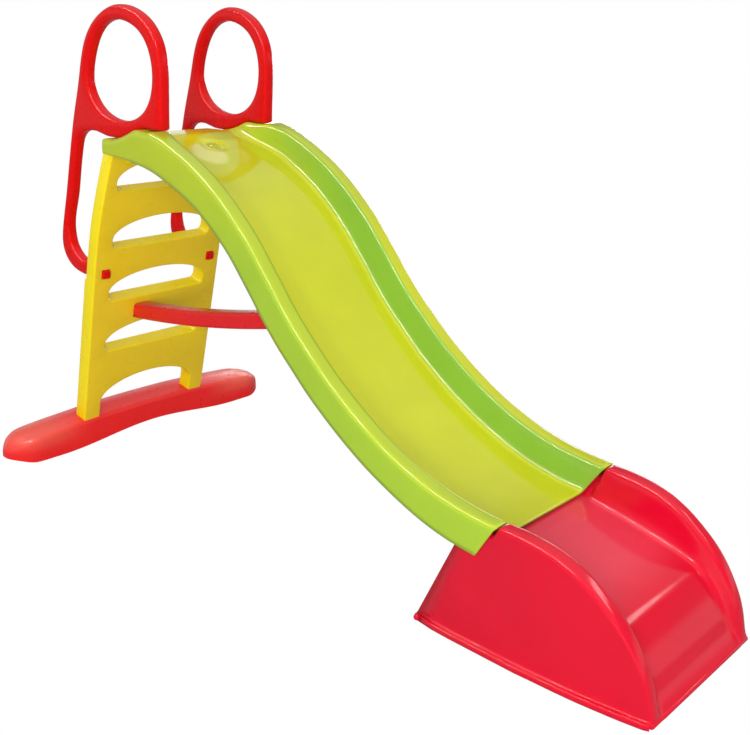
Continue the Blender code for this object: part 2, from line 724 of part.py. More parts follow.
# --------------------------------------------------------------------- brace
def brace_top(x):
    d = x + 0.72
    return 0.385 + 0.0735 * d + 0.13 * d * d


def brace():
    px, pz = BRACE_PIN
    start = LADDER_X0 + LEAN * 0.36 + GAP
    xs = np.linspace(start, px, 12)
    top = [(float(x), brace_top(float(x))) for x in xs]
    bottom = [(float(x), brace_top(float(x)) - BRACE_H) for x in xs]
    top[0] = (LADDER_X0 + LEAN * top[0][1] + GAP * 1.5, top[0][1])
    bottom[0] = (LADDER_X0 + LEAN * bottom[0][1] + GAP * 1.5, bottom[0][1])
    slope = math.atan(0.0735 + 0.26 * (px + 0.72))
    cz = (top[-1][1] + bottom[-1][1]) / 2
    r = BRACE_H / 2 * math.cos(slope)
    nose = []
    for k in range(9):
        a = math.pi / 2 - math.pi * k / 8 + slope
        nose.append((px + r * math.cos(a), cz + r * math.sin(a)))
    outline = [Vector(p) for p in top[:-1] + nose + list(reversed(bottom[:-1]))]
    if area(outline) < 0:
        outline.reverse()
    bm = bmesh.new()
    e = 0.008
    levels = []
    for k in range(4):
        a = math.pi / 2 * k / 3
        levels.append((BRACE_Y - e * (1 - math.cos(a)), e * (1 - math.sin(a))))
    levels = [(BRACE_MID + h, d) for h, d in levels] + [(BRACE_MID - h, d) for h, d in reversed(levels)]
    made, caps = [], []
    for h, d in levels:
        flat = inset(outline, d)
        verts = [bm.verts.new((p.x, h, p.y)) for p in flat]
        made.append(verts)
        caps.append(list(zip(verts, flat)))
    walls(bm, made)
    faces_between(bm, [caps[0]])
    faces_between(bm, [caps[-1]])
    obj = make("brace", bm, "red")
    hole = rod((px, BRACE_MID - 0.05, cz), (0, 1, 0), 0.10, 0.0046, 16)
    return obj, hole, (px, cz)


# ------------------------------------------------------------------- joints
GRIP_SCREW_X = (-0.562, -0.445)
RUNOUT_SCREW_X = (0.491, 0.516)
RUNOUT_SCREW_Y = 0.171
TOP_SCREW = (0.090, 0.7635)
BRACE_SCREW = (0.0105, 0.3655)
RIB_T = 0.005
INLET_X = -0.428


def grip_seat(s, x):
    return Vector((x, s * (GRIP_Y + GRIP_TOE * (GRIP_X - x)), table(SADDLE, x) - WALL - 0.0012))


def rim_height(x):
    return table([(r[2], r[3]) for r in RUNOUT[:4]], x)


def runout_seat(s, x):
    return Vector((x, s * RUNOUT_SCREW_Y, rim_height(x) - WALL - 0.0012))


def leg_seat(s):
    return on_ladder(s * (OPEN_Y + LADDER_Y) / 2, LEG_BOTTOM - 0.012, -0.021)


def top_seat(s):
    return on_ladder(s * TOP_SCREW[0], TOP_SCREW[1], 2 * GAP + RIB_T + 0.0003)


def brace_seat(s):
    return on_ladder(BRACE_MID + s * BRACE_SCREW[0], BRACE_SCREW[1], -LADDER_T - 0.0003)


def ring(bm, profile, origin, axis, segments=SEG):
    """Closed ring of revolution; profile is a closed loop of (distance along axis, radius)."""
    axis = Vector(axis).normalized()
    side = axis.orthogonal().normalized()
    other = axis.cross(side)
    rows = []
    for along, radius in profile:
        centre = Vector(origin) + axis * along
        rows.append([
            bm.verts.new(centre + (side * math.cos(2 * math.pi * k / segments) + other * math.sin(2 * math.pi * k / segments)) * radius)
            for k in range(segments)
        ])
    for a, b in zip(rows, rows[1:] + rows[:1]):
        for k in range(segments):
            j = (k + 1) % segments
            bm.faces.new((a[k], a[j], b[j], b[k]))


def bed_point(x_crest):
    """Point on top of the bed with the path's direction and upward normal."""
    frames = crest_frames(even(400))
    near = min(range(len(frames)), key=lambda i: abs(frames[i][0] - x_crest))
    line = []
    for x, z, tx, tz in (frames[max(near - 3, 0)], frames[near], frames[min(near + 3, 399)]):
        d = table(BED_DEPTH, x)
        line.append(Vector((x + tz * d, 0, z - tx * d)))
    t = (line[2] - line[0]).normalized()
    return line[1], t, Vector((-t.z, 0, t.x))


def under_bed_near(q):
    """Point on the underside of the bed opposite q."""
    best = None
    for x, z, tx, tz in crest_frames(even(300)):
        nx, nz = -tz, tx
        d = table(BED_DEPTH, x) + WALL
        p = Vector((x - nx * d, 0, z - nz * d))
        off = abs((q - p).dot(Vector((tx, 0, tz))))
        if (q - p).length < 0.12 and (best is None or off < best[0]):
            best = (off, p, Vector((nx, 0, nz)))
    return best[1], best[2]


def ears(px, cz):
    """The two lugs under the bed that take the brace's bolt."""
    pin = Vector((px, 0, cz))
    base, up = under_bed_near(pin)
    along = Vector((up.z, 0, -up.x))
    out = []
    for s in (1, -1):
        pts = []
        for k in range(9):
            a = math.pi + math.pi * k / 8
            d = along * (0.015 * math.cos(a)) + up * (0.015 * math.sin(a))
            pts.append((pin.x + d.x, pin.z + d.z))
        for by in (0.030, -0.030):
            q, u = under_bed_near(pin + along * by + up * (base - pin).length)
            pts.append((q.x + u.x * 0.0022, q.z + u.z * 0.0022))
        inner, outer = BRACE_MID + s * (BRACE_Y + GAP), BRACE_MID + s * (BRACE_Y + GAP + RIB_T)
        out.append(prism(pts, min(inner, outer), max(inner, outer)))
    return out


def ribs():
    """Low cross ribs under the bed, and the taller one that the ladder's top is screwed to."""
    out = []
    for x in (-0.30, -0.19, 0.05, 0.17, 0.30, 0.42):
        p, t, n = bed_point(x)
        low, high = -(table(SKIRT_DEPTH, x) - table(BED_DEPTH, x) - 0.002), -WALL + 0.0018
        pts = []
        for a, b in ((-0.0022, low), (0.0022, low), (0.0022, high), (-0.0022, high)):
            q = p + t * a + n * b
            pts.append((q.x, q.z))
        out.append(prism(pts, -0.118, 0.118))
    pts = []
    for z, w in ((0.754, GAP * 2), (0.754, GAP * 2 + RIB_T), (0.8080, GAP * 2 + RIB_T), (0.8100, GAP * 2)):
        q = on_ladder(0, z, w)
        pts.append((q.x, q.z + (0.0035 if z > 0.8 else 0)))
    out.append(prism(pts, -0.125, 0.125))
    return out


# -------------------------------------------------------------------- build
def main():
    for obj in list(bpy.data.objects):
        bpy.data.objects.remove(obj)
    sides = (("left", 1), ("right", -1))

    brace_obj, brace_hole, (px, cz) = brace()
    cut(brace_obj, [brace_hole] + [rod(brace_seat(s), N_AXIS, 0.073, HOLE_R) for _, s in sides])

    body = chute()
    cut(body, ears(px, cz), "UNION")
    cut(body, ribs(), "UNION")
    bosses = []
    for _, s in sides:
        for x in RUNOUT_SCREW_X:
            low = rim_height(x) + 0.0016
            bosses.append(rod((x, s * RUNOUT_SCREW_Y, low), (0, 0, 1), table(CREST, x) - 0.0022 - low, 0.0056))
    cut(body, bosses, "UNION")
    p, t, n = bed_point(INLET_X)
    holes = [rod((px, BRACE_MID - 0.05, cz), (0, 1, 0), 0.10, 0.0046, 16), rod(p + n * 0.01, -n, 0.03, 0.0082, 20)]
    for _, s in sides:
        holes += [rod(grip_seat(s, x) - Vector((0, 0, 0.004)), (0, 0, 1), 0.02, HOLE_R) for x in GRIP_SCREW_X]
        for x in RUNOUT_SCREW_X:
            low = rim_height(x) + 0.0016
            holes.append(rod((x, s * RUNOUT_SCREW_Y, low - 0.002), (0, 0, 1), 0.0125, HOLE_R))
        holes.append(rod(top_seat(s) + N_AXIS * 0.004, -N_AXIS, 0.02, HOLE_R))
    cut(body, holes)

    shoe = run_out()
    cut(shoe, [rod(runout_seat(s, x) - Vector((0, 0, 0.003)), (0, 0, 1), 0.012, HOLE_R) for _, s in sides for x in RUNOUT_SCREW_X])

    panel = ladder()
    holes = []
    for _, s in sides:
        holes.append(rod(top_seat(s), -N_AXIS, 0.02, HOLE_R))
        holes.append(rod(brace_seat(s) - N_AXIS * 0.003, N_AXIS, 0.055, HOLE_R))
        holes.append(rod(leg_seat(s) + T_AXIS * 0.006, T_AXIS, 0.014, HOLE_R))
    cut(panel, holes)
    base_foot()

    for side, s in sides:
        held = grip("handle_" + side, s)
        cut(held, [rod(grip_seat(s, x), (0, 0, 1), 0.030, HOLE_R) for x in GRIP_SCREW_X])
        for i, x in enumerate(GRIP_SCREW_X):
            screw(f"handle_screw_{side}_{i + 1}", grip_seat(s, x), (0, 0, 1), 0.026)
        for i, x in enumerate(RUNOUT_SCREW_X):
            screw(f"run_out_screw_{side}_{i + 1}", runout_seat(s, x), (0, 0, 1), 0.0155)
        screw(f"ladder_top_screw_{side}", top_seat(s), -N_AXIS, 0.016)
        screw(f"brace_screw_{side}", brace_seat(s), N_AXIS, 0.069)
        screw(f"leg_screw_{side}", leg_seat(s), T_AXIS, 0.024)

    face = BRACE_Y + GAP + RIB_T + 0.0004
    bm = bmesh.new()
    lathe(
        bm,
        [(-0.0045, 0), (-0.0045, 0.0050), (-0.0025, 0.0078), (0, 0.0078), (0, 0.0042), (2 * face + 0.0085, 0.0042), (2 * face + 0.0095, 0)],
        (px, BRACE_MID + face, cz), (0, -1, 0), 16,
    )
    make("brace_bolt", bm, "screw")
    bm = bmesh.new()
    ring(bm, [(0, 0.0046), (0, 0.0082), (0.0055, 0.0082), (0.0065, 0.0074), (0.0065, 0.0046)], (px, BRACE_MID - face, cz), (0, -1, 0), 6 * 2)
    make("brace_nut", bm, "screw")

    bm = bmesh.new()
    ring(
        bm,
        [(0.0012, 0.0152), (0.0024, 0.0146), (0.0034, 0.0100), (0.0034, 0.0045), (-0.034, 0.0045), (-0.034, 0.0058),
         (-0.030, 0.0074), (-0.026, 0.0060), (-0.026, 0.0074), (0.0012, 0.0074)],
        p, n, 20,
    )
    make("water_inlet", bm, "inlet")
    bm = bmesh.new()
    ring(bm, [(0, 0.0079), (0, 0.0135), (-0.0055, 0.0135), (-0.0065, 0.0125), (-0.0065, 0.0079)], p - n * (WALL + 0.0010), n, 20)
    make("inlet_nut", bm, "inlet")

    for obj in bpy.context.scene.objects:
        obj.data.transform(Matrix.Translation((X_SHIFT, Y_SHIFT, 0)))
        obj.data.update()


main()
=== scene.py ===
"""Looks of the free-standing children's slide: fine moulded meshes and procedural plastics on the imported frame."""

import math

import bmesh
import bpy
import numpy as np
from mathutils import Matrix, Vector
from mathutils.geometry import tessellate_polygon


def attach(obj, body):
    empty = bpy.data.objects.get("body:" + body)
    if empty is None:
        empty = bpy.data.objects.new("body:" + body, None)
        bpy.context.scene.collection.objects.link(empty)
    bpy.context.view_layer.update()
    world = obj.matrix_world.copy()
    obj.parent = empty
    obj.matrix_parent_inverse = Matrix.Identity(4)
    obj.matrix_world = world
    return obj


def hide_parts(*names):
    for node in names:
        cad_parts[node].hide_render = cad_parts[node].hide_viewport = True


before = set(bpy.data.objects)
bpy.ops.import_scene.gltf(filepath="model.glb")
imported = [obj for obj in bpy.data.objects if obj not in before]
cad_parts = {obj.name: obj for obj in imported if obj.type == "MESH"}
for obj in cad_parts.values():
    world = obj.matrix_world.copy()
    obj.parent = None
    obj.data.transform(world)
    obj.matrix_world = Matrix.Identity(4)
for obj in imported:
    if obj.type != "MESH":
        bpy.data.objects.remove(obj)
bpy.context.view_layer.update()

# --------------------------------------------------------------- shared sizes
X_SHIFT, Y_SHIFT = 0.0395, -0.0175
WALL, GAP = 0.0045, 0.0006
SKIRT_Y, RAIL_IN_Y, BED_Y, REAR_R = 0.190, 0.152, 0.134, 0.018
END_SLOPE = 0.606
CREST = [
    (-0.5920, 0.8405), (-0.550, 0.8417), (-0.480, 0.8425), (-0.423, 0.8390),
    (-0.375, 0.8290), (-0.327, 0.8110), (-0.283, 0.7910), (-0.246, 0.7710),
    (-0.212, 0.7500), (-0.184, 0.7300), (-0.137, 0.6910), (-0.096, 0.6520),
    (-0.061, 0.6120), (-0.028, 0.5730), (0.004, 0.5340), (0.041, 0.4945),
    (0.081, 0.4575), (0.123, 0.4200), (0.168, 0.3860), (0.217, 0.3530),
    (0.270, 0.3220), (0.331, 0.2940), (0.401, 0.2700), (0.470, 0.2560),
    (0.541, 0.2490),
]
SADDLE = [
    (-0.660, 0.8235), (-0.640, 0.8190), (-0.610, 0.8135), (-0.570, 0.8125),
    (-0.535, 0.8180), (-0.500, 0.8280), (-0.466, 0.8385), (-0.445, 0.8365),
    (-0.425, 0.8360), (-0.405, 0.8375), (-0.385, 0.8315),
]
BED_DEPTH = [
    (-0.6240, 0.021), (-0.560, 0.023), (-0.510, 0.026), (-0.460, 0.036),
    (-0.410, 0.047), (-0.350, 0.053), (-0.250, 0.055), (0.0, 0.056), (0.541, 0.054),
]
SKIRT_DEPTH = [
    (-0.6240, 0.057), (-0.560, 0.064), (-0.500, 0.070), (-0.440, 0.077),
    (-0.380, 0.079), (-0.300, 0.077), (-0.210, 0.071), (-0.100, 0.067),
    (0.100, 0.066), (0.541, 0.067),
]
LEAN = 0.29
LADDER_X0 = -0.802 - LEAN * 0.077
LADDER_T, LADDER_T_TOP, NOTCH_Z = 0.045, 0.036, 0.4525
LADDER_Y, LADDER_TOP, LEG_BOTTOM, OPEN_Y = 0.187, 0.776, 0.036, 0.142
OPEN_BOTTOMS = (0.263, 0.404, 0.543, 0.684)
OPEN_LOW, OPEN_RISE, ARCH_LOW, ARCH_RISE, SHELL = 0.022, 0.048, 0.115, 0.060, 0.0038
FOOT_FRONT, FOOT_BACK, FOOT_HALF, FOOT_Y, FOOT_ARCH, FOOT_TIP = -0.798, -0.927, 0.4025, 0.0175, 0.022, 0.011
GRIP_T, GRIP_Y, GRIP_TOE, GRIP_X, GRIP_EDGE = 0.030, 0.1445, 0.040, -0.415, 0.011
TENON_Z, TENON_W, TENON_H, TENON_OUT = 0.484, 0.021, 0.020, 0.006
BRACE_MID, BRACE_Y, BRACE_H, BRACE_PIN = -0.0485, 0.0225, 0.039, (-0.078, 0.4625)
INLET_X = -0.428
ALPHA = math.atan(LEAN)
T_AXIS = Vector((math.sin(ALPHA), 0, math.cos(ALPHA)))
N_AXIS = Vector((math.cos(ALPHA), 0, -math.sin(ALPHA)))
HEAD_R, SHANK_R, RIB_T = 0.0048, 0.0020, 0.005
GRIP_SCREW_X = (-0.562, -0.445)
RUNOUT_SCREW_X, RUNOUT_SCREW_Y = (0.491, 0.516), 0.171
TOP_SCREW, BRACE_SCREW = (0.090, 0.7635), (0.0105, 0.3655)


# -------------------------------------------------------------------- helpers
def smooth(t):
    t = min(max(t, 0.0), 1.0)
    return t * t * (3 - 2 * t)


def table(rows, at):
    xs = [r[0] for r in rows]
    ys = [r[1] for r in rows]
    at = min(max(at, xs[0]), xs[-1])
    i = 0
    while i < len(xs) - 2 and xs[i + 1] < at:
        i += 1
    d = [(ys[k + 1] - ys[k]) / (xs[k + 1] - xs[k]) for k in range(len(xs) - 1)]

    def slope(k):
        if k == 0:
            return d[0]
        if k == len(xs) - 1:
            return d[-1]
        if d[k - 1] * d[k] <= 0:
            return 0.0
        return 2 * d[k - 1] * d[k] / (d[k - 1] + d[k])

    h = xs[i + 1] - xs[i]
    t = (at - xs[i]) / h
    a, b = slope(i) * h, slope(i + 1) * h
    return (
        ys[i] * (1 + 2 * t) * (1 - t) ** 2 + a * t * (1 - t) ** 2
        + ys[i + 1] * t * t * (3 - 2 * t) + b * t * t * (t - 1)
    )


def through(points, count, closed=False):
    p = [Vector(q) for q in points]
    n = len(p)
    dense = []
    for i in range(n if closed else n - 1):
        a, b = p[i], p[(i + 1) % n]
        before = p[(i - 1) % n] if closed or i else a - (b - a)
        after = p[(i + 2) % n] if closed or i + 2 < n else b + (b - a)
        l0, l1, l2 = (a - before).length, (b - a).length, (after - b).length
        m0 = ((a - before) / l0 * l1 + (b - a) / l1 * l0) / (l0 + l1) * l1
        m1 = ((b - a) / l1 * l2 + (after - b) / l2 * l1) / (l1 + l2) * l1
        for k in range(16):
            t = k / 16
            dense.append(
                a * ((1 + 2 * t) * (1 - t) ** 2) + m0 * (t * (1 - t) ** 2)
                + b * (t * t * (3 - 2 * t)) + m1 * (t * t * (t - 1))
            )
    dense.append(p[0] if closed else p[-1])
    lengths = np.concatenate([[0], np.cumsum([(b - a).length for a, b in zip(dense, dense[1:])])])
    out = []
    for k in range(count):
        s = lengths[-1] * k / (count if closed else count - 1)
        i = min(int(np.searchsorted(lengths, s, side="right")) - 1, len(dense) - 2)
        f = (s - lengths[i]) / max(lengths[i + 1] - lengths[i], 1e-12)
        out.append(dense[i].lerp(dense[i + 1], f))
    return out


def relaxed(points, rounds, closed=False):
    """Outline with its small wobbles averaged away; open ends stay."""
    p = [Vector(q) for q in points]
    for _ in range(rounds):
        n = len(p)
        p = [
            p[i] if not closed and i in (0, n - 1) else p[i - 1] * 0.25 + p[i] * 0.5 + p[(i + 1) % n] * 0.25
            for i in range(n)
        ]
    return p


def rounded(corners, radii, steps, spans):
    """Polyline with rounded corners; spans gives how many points each straight run is split into."""
    c = [Vector(q) for q in corners]
    arcs = []
    for i in range(1, len(c) - 1):
        a, b = c[i - 1] - c[i], c[i + 1] - c[i]
        la, lb = max(a.length, 1e-9), max(b.length, 1e-9)
        d = min(radii[i - 1], 0.46 * la, 0.46 * lb)
        p, q = c[i] + a / la * d, c[i] + b / lb * d
        n = steps[i - 1]
        # weights that bring the curve close to a true arc
        w = 0.82
        arc = []
        for k in range(n + 1):
            t = k / n
            b0, b1, b2 = (1 - t) ** 2, 2 * t * (1 - t) * w, t * t
            arc.append((p * b0 + c[i] * b1 + q * b2) / (b0 + b1 + b2))
        arcs.append(arc)
    out = [c[0]]
    ends = [arc[0] for arc in arcs] + [c[-1]]
    for i, end in enumerate(ends):
        start = out[-1]
        for k in range(1, spans[i]):
            out.append(start.lerp(end, k / spans[i]))
        out += arcs[i] if i < len(arcs) else [c[-1]]
    return out


def finish_mesh(name, bm, angle=35, smooth_all=True):
    bmesh.ops.remove_doubles(bm, verts=bm.verts, dist=2e-6)
    bmesh.ops.dissolve_degenerate(bm, edges=bm.edges, dist=2e-6)
    bmesh.ops.recalc_face_normals(bm, faces=bm.faces)
    mesh = bpy.data.meshes.new(name)
    bm.to_mesh(mesh)
    bm.free()
    obj = bpy.data.objects.new(name, mesh)
    bpy.context.scene.collection.objects.link(obj)
    if smooth_all:
        mesh.polygons.foreach_set("use_smooth", [True] * len(mesh.polygons))
        mesh.set_sharp_from_angle(angle=math.radians(angle))
    return obj


def baked(obj):
    bpy.context.view_layer.update()
    graph = bpy.context.evaluated_depsgraph_get()
    mesh = bpy.data.meshes.new_from_object(obj.evaluated_get(graph))
    old = obj.data
    obj.modifiers.clear()
    obj.data = mesh
    bpy.data.meshes.remove(old)
    return obj


def cut(obj, cutters):
    for cutter in cutters:
        modifier = obj.modifiers.new("cut", "BOOLEAN")
        modifier.operation = "DIFFERENCE"
        modifier.solver = "EXACT"
        modifier.object = cutter
    baked(obj)
    for cutter in cutters:
        bpy.data.objects.remove(cutter)
    return obj


def helper(bm):
    obj = finish_mesh("helper", bm, smooth_all=False)
    obj.hide_render = True
    return obj


def thickened(obj, thickness):
    modifier = obj.modifiers.new("wall", "SOLIDIFY")
    modifier.thickness = thickness
    modifier.offset = -1
    modifier.use_even_offset = True
    modifier.use_quality_normals = True
    modifier.use_rim = True
    return baked(obj)


def grid(bm, rows):
    verts = [[bm.verts.new(p) for p in row] for row in rows]
    for a, b in zip(verts, verts[1:]):
        for i in range(len(a) - 1):
            bm.faces.new((a[i], a[i + 1], b[i + 1], b[i]))
    return verts


def walls(bm, loops):
    for a, b in zip(loops, loops[1:]):
        n = len(a)
        for i in range(n):
            j = (i + 1) % n
            bm.faces.new((a[i], a[j], b[j], b[i]))


def inset(points, distance):
    n = len(points)
    out = []
    for i in range(n):
        a = (points[i] - points[i - 1]).normalized()
        b = (points[(i + 1) % n] - points[i]).normalized()
        na, nb = Vector((-a.y, a.x)), Vector((-b.y, b.x))
        m = na + nb
        if m.length < 1e-6:
            m = na
        m.normalize()
        out.append(points[i] + m * (distance / max(m.dot(nb), 0.5)))
    return out


def area(points):
    return 0.5 * sum(p.x * q.y - q.x * p.y for p, q in zip(points, points[1:] + points[:1]))


def faces_between(bm, loops):
    flat = [v for loop in loops for v, _ in loop]
    for tri in tessellate_polygon([[Vector((p.x, p.y, 0)) for _, p in loop] for loop in loops]):
        try:
            bm.faces.new([flat[i] for i in tri])
        except ValueError:
            pass


def turned(bm, profile, origin, axis, segments=32, closed=False):
    """Surface of revolution; a closed profile is a ring, an open one starts and ends on the axis."""
    axis = Vector(axis).normalized()
    side = axis.orthogonal().normalized()
    other = axis.cross(side)
    rows = []
    for along, radius in profile:
        centre = Vector(origin) + axis * along
        if radius <= 0:
            rows.append([bm.verts.new(centre)])
            continue
        rows.append([
            bm.verts.new(centre + (side * math.cos(2 * math.pi * k / segments) + other * math.sin(2 * math.pi * k / segments)) * radius)
            for k in range(segments)
        ])
    for a, b in zip(rows, rows[1:] + (rows[:1] if closed else [])):
        for k in range(segments):
            j = (k + 1) % segments
            if len(a) == 1:
                bm.faces.new((a[0], b[k], b[j]))
            elif len(b) == 1:
                bm.faces.new((a[k], a[j], b[0]))
            else:
                bm.faces.new((a[k], a[j], b[j], b[k]))


def block(x0, x1, y0, y1, z0, z1):
    bm = bmesh.new()
    bmesh.ops.create_cube(bm, size=1, matrix=Matrix.Translation(((x0 + x1) / 2, (y0 + y1) / 2, (z0 + z1) / 2)) @ Matrix.Diagonal((x1 - x0, y1 - y0, z1 - z0, 1)))
    return bm


def rod(origin, axis, length, radius, segments=24):
    bm = bmesh.new()
    turned(bm, [(0, 0), (0, radius), (length, radius), (length, 0)], origin, axis, segments)
    return bm


def prism_into(bm, points, y0, y1):
    rings = [[bm.verts.new((x, y, z)) for x, z in points] for y in (y0, y1)]
    bm.faces.new(rings[0])
    bm.faces.new(rings[1])
    walls(bm, rings)


def joined(obj, extra):
    """Adds other objects' meshes to obj, which stay closed shapes set into its wall."""
    bm = bmesh.new()
    bm.from_mesh(obj.data)
    for other in extra:
        bm.from_mesh(other.data)
        bpy.data.objects.remove(other)
    bm.to_mesh(obj.data)
    bm.free()
    obj.data.update()
    return obj


def paint(obj, name, value):
    """Float attribute on the points of obj: value takes a point in the unshifted frame."""
    layer = obj.data.attributes.get(name) or obj.data.attributes.new(name, "FLOAT", "POINT")
    layer.data.foreach_set("value", np.array([value(v.co) for v in obj.data.vertices], np.float32))


# ------------------------------------------------------------------ materials
def srgb(r, g, b):
    return tuple((c / 255 / 12.92 if c <= 10 else ((c / 255 + 0.055) / 1.055) ** 2.4) for c in (r, g, b)) + (1.0,)


def plastic(name, side, top, roughness=0.22, lows=0.15, highs=0.95, coat=0.0, layers=(), grain=0.25, specular=0.5, face=None, where=None):
    """Moulded plastic: colour by how far the surface faces up, a painted top light that makes up-facing surfaces
    lighter as if lit from above, cloudy pigment, fine grain and faint scuffs.
    layers are (attribute, colour) pairs laid over it where the attribute is painted; face is the direction of a panel
    whose own flat sides have the first colour and whose edges have the second, lighter one as painted light; where is
    an attribute that limits the second colour."""
    material = bpy.data.materials.new(name)
    material.use_nodes = True
    tree = material.node_tree
    nodes, links = tree.nodes, tree.links
    shader = nodes["Principled BSDF"]
    place = nodes.new("ShaderNodeTexCoord")
    # painted top light: surfaces that face up take the lighter top colour, as if lit from above
    normal = nodes.new("ShaderNodeNewGeometry")
    split = nodes.new("ShaderNodeSeparateXYZ")
    links.new(normal.outputs["Normal"], split.inputs[0])
    ramp = nodes.new("ShaderNodeMapRange")
    ramp.interpolation_type = "SMOOTHSTEP"
    ramp.inputs["From Min"].default_value = lows
    ramp.inputs["From Max"].default_value = highs
    links.new(split.outputs["Z"], ramp.inputs["Value"])
    # with a face given, the panel's edges take the lighter colour instead: painted light on the edges
    if face:
        along = nodes.new("ShaderNodeVectorMath")
        along.operation = "DOT_PRODUCT"
        along.inputs[1].default_value = face
        links.new(normal.outputs["Normal"], along.inputs[0])
        size = nodes.new("ShaderNodeMath")
        size.operation = "ABSOLUTE"
        links.new(along.outputs["Value"], size.inputs[0])
        ramp.inputs["From Min"].default_value, ramp.inputs["From Max"].default_value = 0.5, 0.95
        ramp.inputs["To Min"].default_value, ramp.inputs["To Max"].default_value = 1.0, 0.0
        links.new(size.outputs["Value"], ramp.inputs["Value"])
    mix = nodes.new("ShaderNodeMix")
    mix.data_type = "RGBA"
    mix.inputs["A"].default_value = side
    mix.inputs["B"].default_value = top
    amount = ramp.outputs["Result"]
    if where:
        limit = nodes.new("ShaderNodeAttribute")
        limit.attribute_name = where
        product = nodes.new("ShaderNodeMath")
        product.operation = "MULTIPLY"
        links.new(amount, product.inputs[0])
        links.new(limit.outputs["Fac"], product.inputs[1])
        amount = product.outputs["Value"]
    links.new(amount, mix.inputs["Factor"])
    colour = mix.outputs["Result"]
    for attribute, tint in layers:
        read = nodes.new("ShaderNodeAttribute")
        read.attribute_name = attribute
        over = nodes.new("ShaderNodeMix")
        over.data_type = "RGBA"
        over.inputs["B"].default_value = tint
        links.new(read.outputs["Fac"], over.inputs["Factor"])
        links.new(colour, over.inputs["A"])
        colour = over.outputs["Result"]
    # cloudy pigment, a few centimetres across
    cloud = nodes.new("ShaderNodeTexNoise")
    cloud.inputs["Scale"].default_value = 9.0
    cloud.inputs["Detail"].default_value = 3.0
    links.new(place.outputs["Object"], cloud.inputs["Vector"])
    level = nodes.new("ShaderNodeMapRange")
    level.inputs["From Min"].default_value = 0.3
    level.inputs["From Max"].default_value = 0.7
    level.inputs["To Min"].default_value = 0.965
    level.inputs["To Max"].default_value = 1.035
    links.new(cloud.outputs["Fac"], level.inputs["Value"])
    shade = nodes.new("ShaderNodeHueSaturation")
    links.new(level.outputs["Result"], shade.inputs["Value"])
    links.new(colour, shade.inputs["Color"])
    links.new(shade.outputs["Color"], shader.inputs["Base Color"])
    # faint scuffs make the gloss uneven
    scuff = nodes.new("ShaderNodeTexNoise")
    scuff.inputs["Scale"].default_value = 34.0
    scuff.inputs["Detail"].default_value = 6.0
    scuff.inputs["Roughness"].default_value = 0.65
    links.new(place.outputs["Object"], scuff.inputs["Vector"])
    dull = nodes.new("ShaderNodeMapRange")
    dull.inputs["From Min"].default_value = 0.35
    dull.inputs["From Max"].default_value = 0.75
    dull.inputs["To Min"].default_value = roughness * 0.85
    dull.inputs["To Max"].default_value = roughness * 1.35
    links.new(scuff.outputs["Fac"], dull.inputs["Value"])
    links.new(dull.outputs["Result"], shader.inputs["Roughness"])
    # the mould's fine grain
    fine = nodes.new("ShaderNodeTexNoise")
    fine.inputs["Scale"].default_value = 420.0
    fine.inputs["Detail"].default_value = 2.0
    links.new(place.outputs["Object"], fine.inputs["Vector"])
    wave = nodes.new("ShaderNodeTexNoise")
    wave.inputs["Scale"].default_value = 14.0
    wave.inputs["Detail"].default_value = 1.0
    links.new(place.outputs["Object"], wave.inputs["Vector"])
    bump = nodes.new("ShaderNodeBump")
    bump.inputs["Strength"].default_value = grain * 0.2
    bump.inputs["Distance"].default_value = 0.00012
    links.new(fine.outputs["Fac"], bump.inputs["Height"])
    sink = nodes.new("ShaderNodeBump")
    sink.inputs["Strength"].default_value = 0.12
    sink.inputs["Distance"].default_value = 0.0012
    links.new(wave.outputs["Fac"], sink.inputs["Height"])
    links.new(bump.outputs["Normal"], sink.inputs["Normal"])
    links.new(sink.outputs["Normal"], shader.inputs["Normal"])
    shader.inputs["IOR"].default_value = 1.5
    shader.inputs["Specular IOR Level"].default_value = specular
    shader.inputs["Coat Weight"].default_value = coat
    shader.inputs["Coat Roughness"].default_value = 0.08
    return material


def zinc(name):
    """Zinc-plated steel with a cloudy bluish film and fine turning marks."""
    material = bpy.data.materials.new(name)
    material.use_nodes = True
    tree = material.node_tree
    nodes, links = tree.nodes, tree.links
    shader = nodes["Principled BSDF"]
    shader.inputs["Metallic"].default_value = 1.0
    place = nodes.new("ShaderNodeTexCoord")
    cloud = nodes.new("ShaderNodeTexNoise")
    cloud.inputs["Scale"].default_value = 180.0
    cloud.inputs["Detail"].default_value = 4.0
    links.new(place.outputs["Object"], cloud.inputs["Vector"])
    mix = nodes.new("ShaderNodeMix")
    mix.data_type = "RGBA"
    mix.inputs["A"].default_value = (0.50, 0.52, 0.55, 1)
    mix.inputs["B"].default_value = (0.68, 0.68, 0.66, 1)
    links.new(cloud.outputs["Fac"], mix.inputs["Factor"])
    links.new(mix.outputs["Result"], shader.inputs["Base Color"])
    level = nodes.new("ShaderNodeMapRange")
    level.inputs["To Min"].default_value = 0.24
    level.inputs["To Max"].default_value = 0.42
    links.new(cloud.outputs["Fac"], level.inputs["Value"])
    links.new(level.outputs["Result"], shader.inputs["Roughness"])
    fine = nodes.new("ShaderNodeTexNoise")
    fine.inputs["Scale"].default_value = 2500.0
    links.new(place.outputs["Object"], fine.inputs["Vector"])
    bump = nodes.new("ShaderNodeBump")
    bump.inputs["Strength"].default_value = 0.2
    bump.inputs["Distance"].default_value = 0.00005
    links.new(fine.outputs["Fac"], bump.inputs["Height"])
    links.new(bump.outputs["Normal"], shader.inputs["Normal"])
    return material
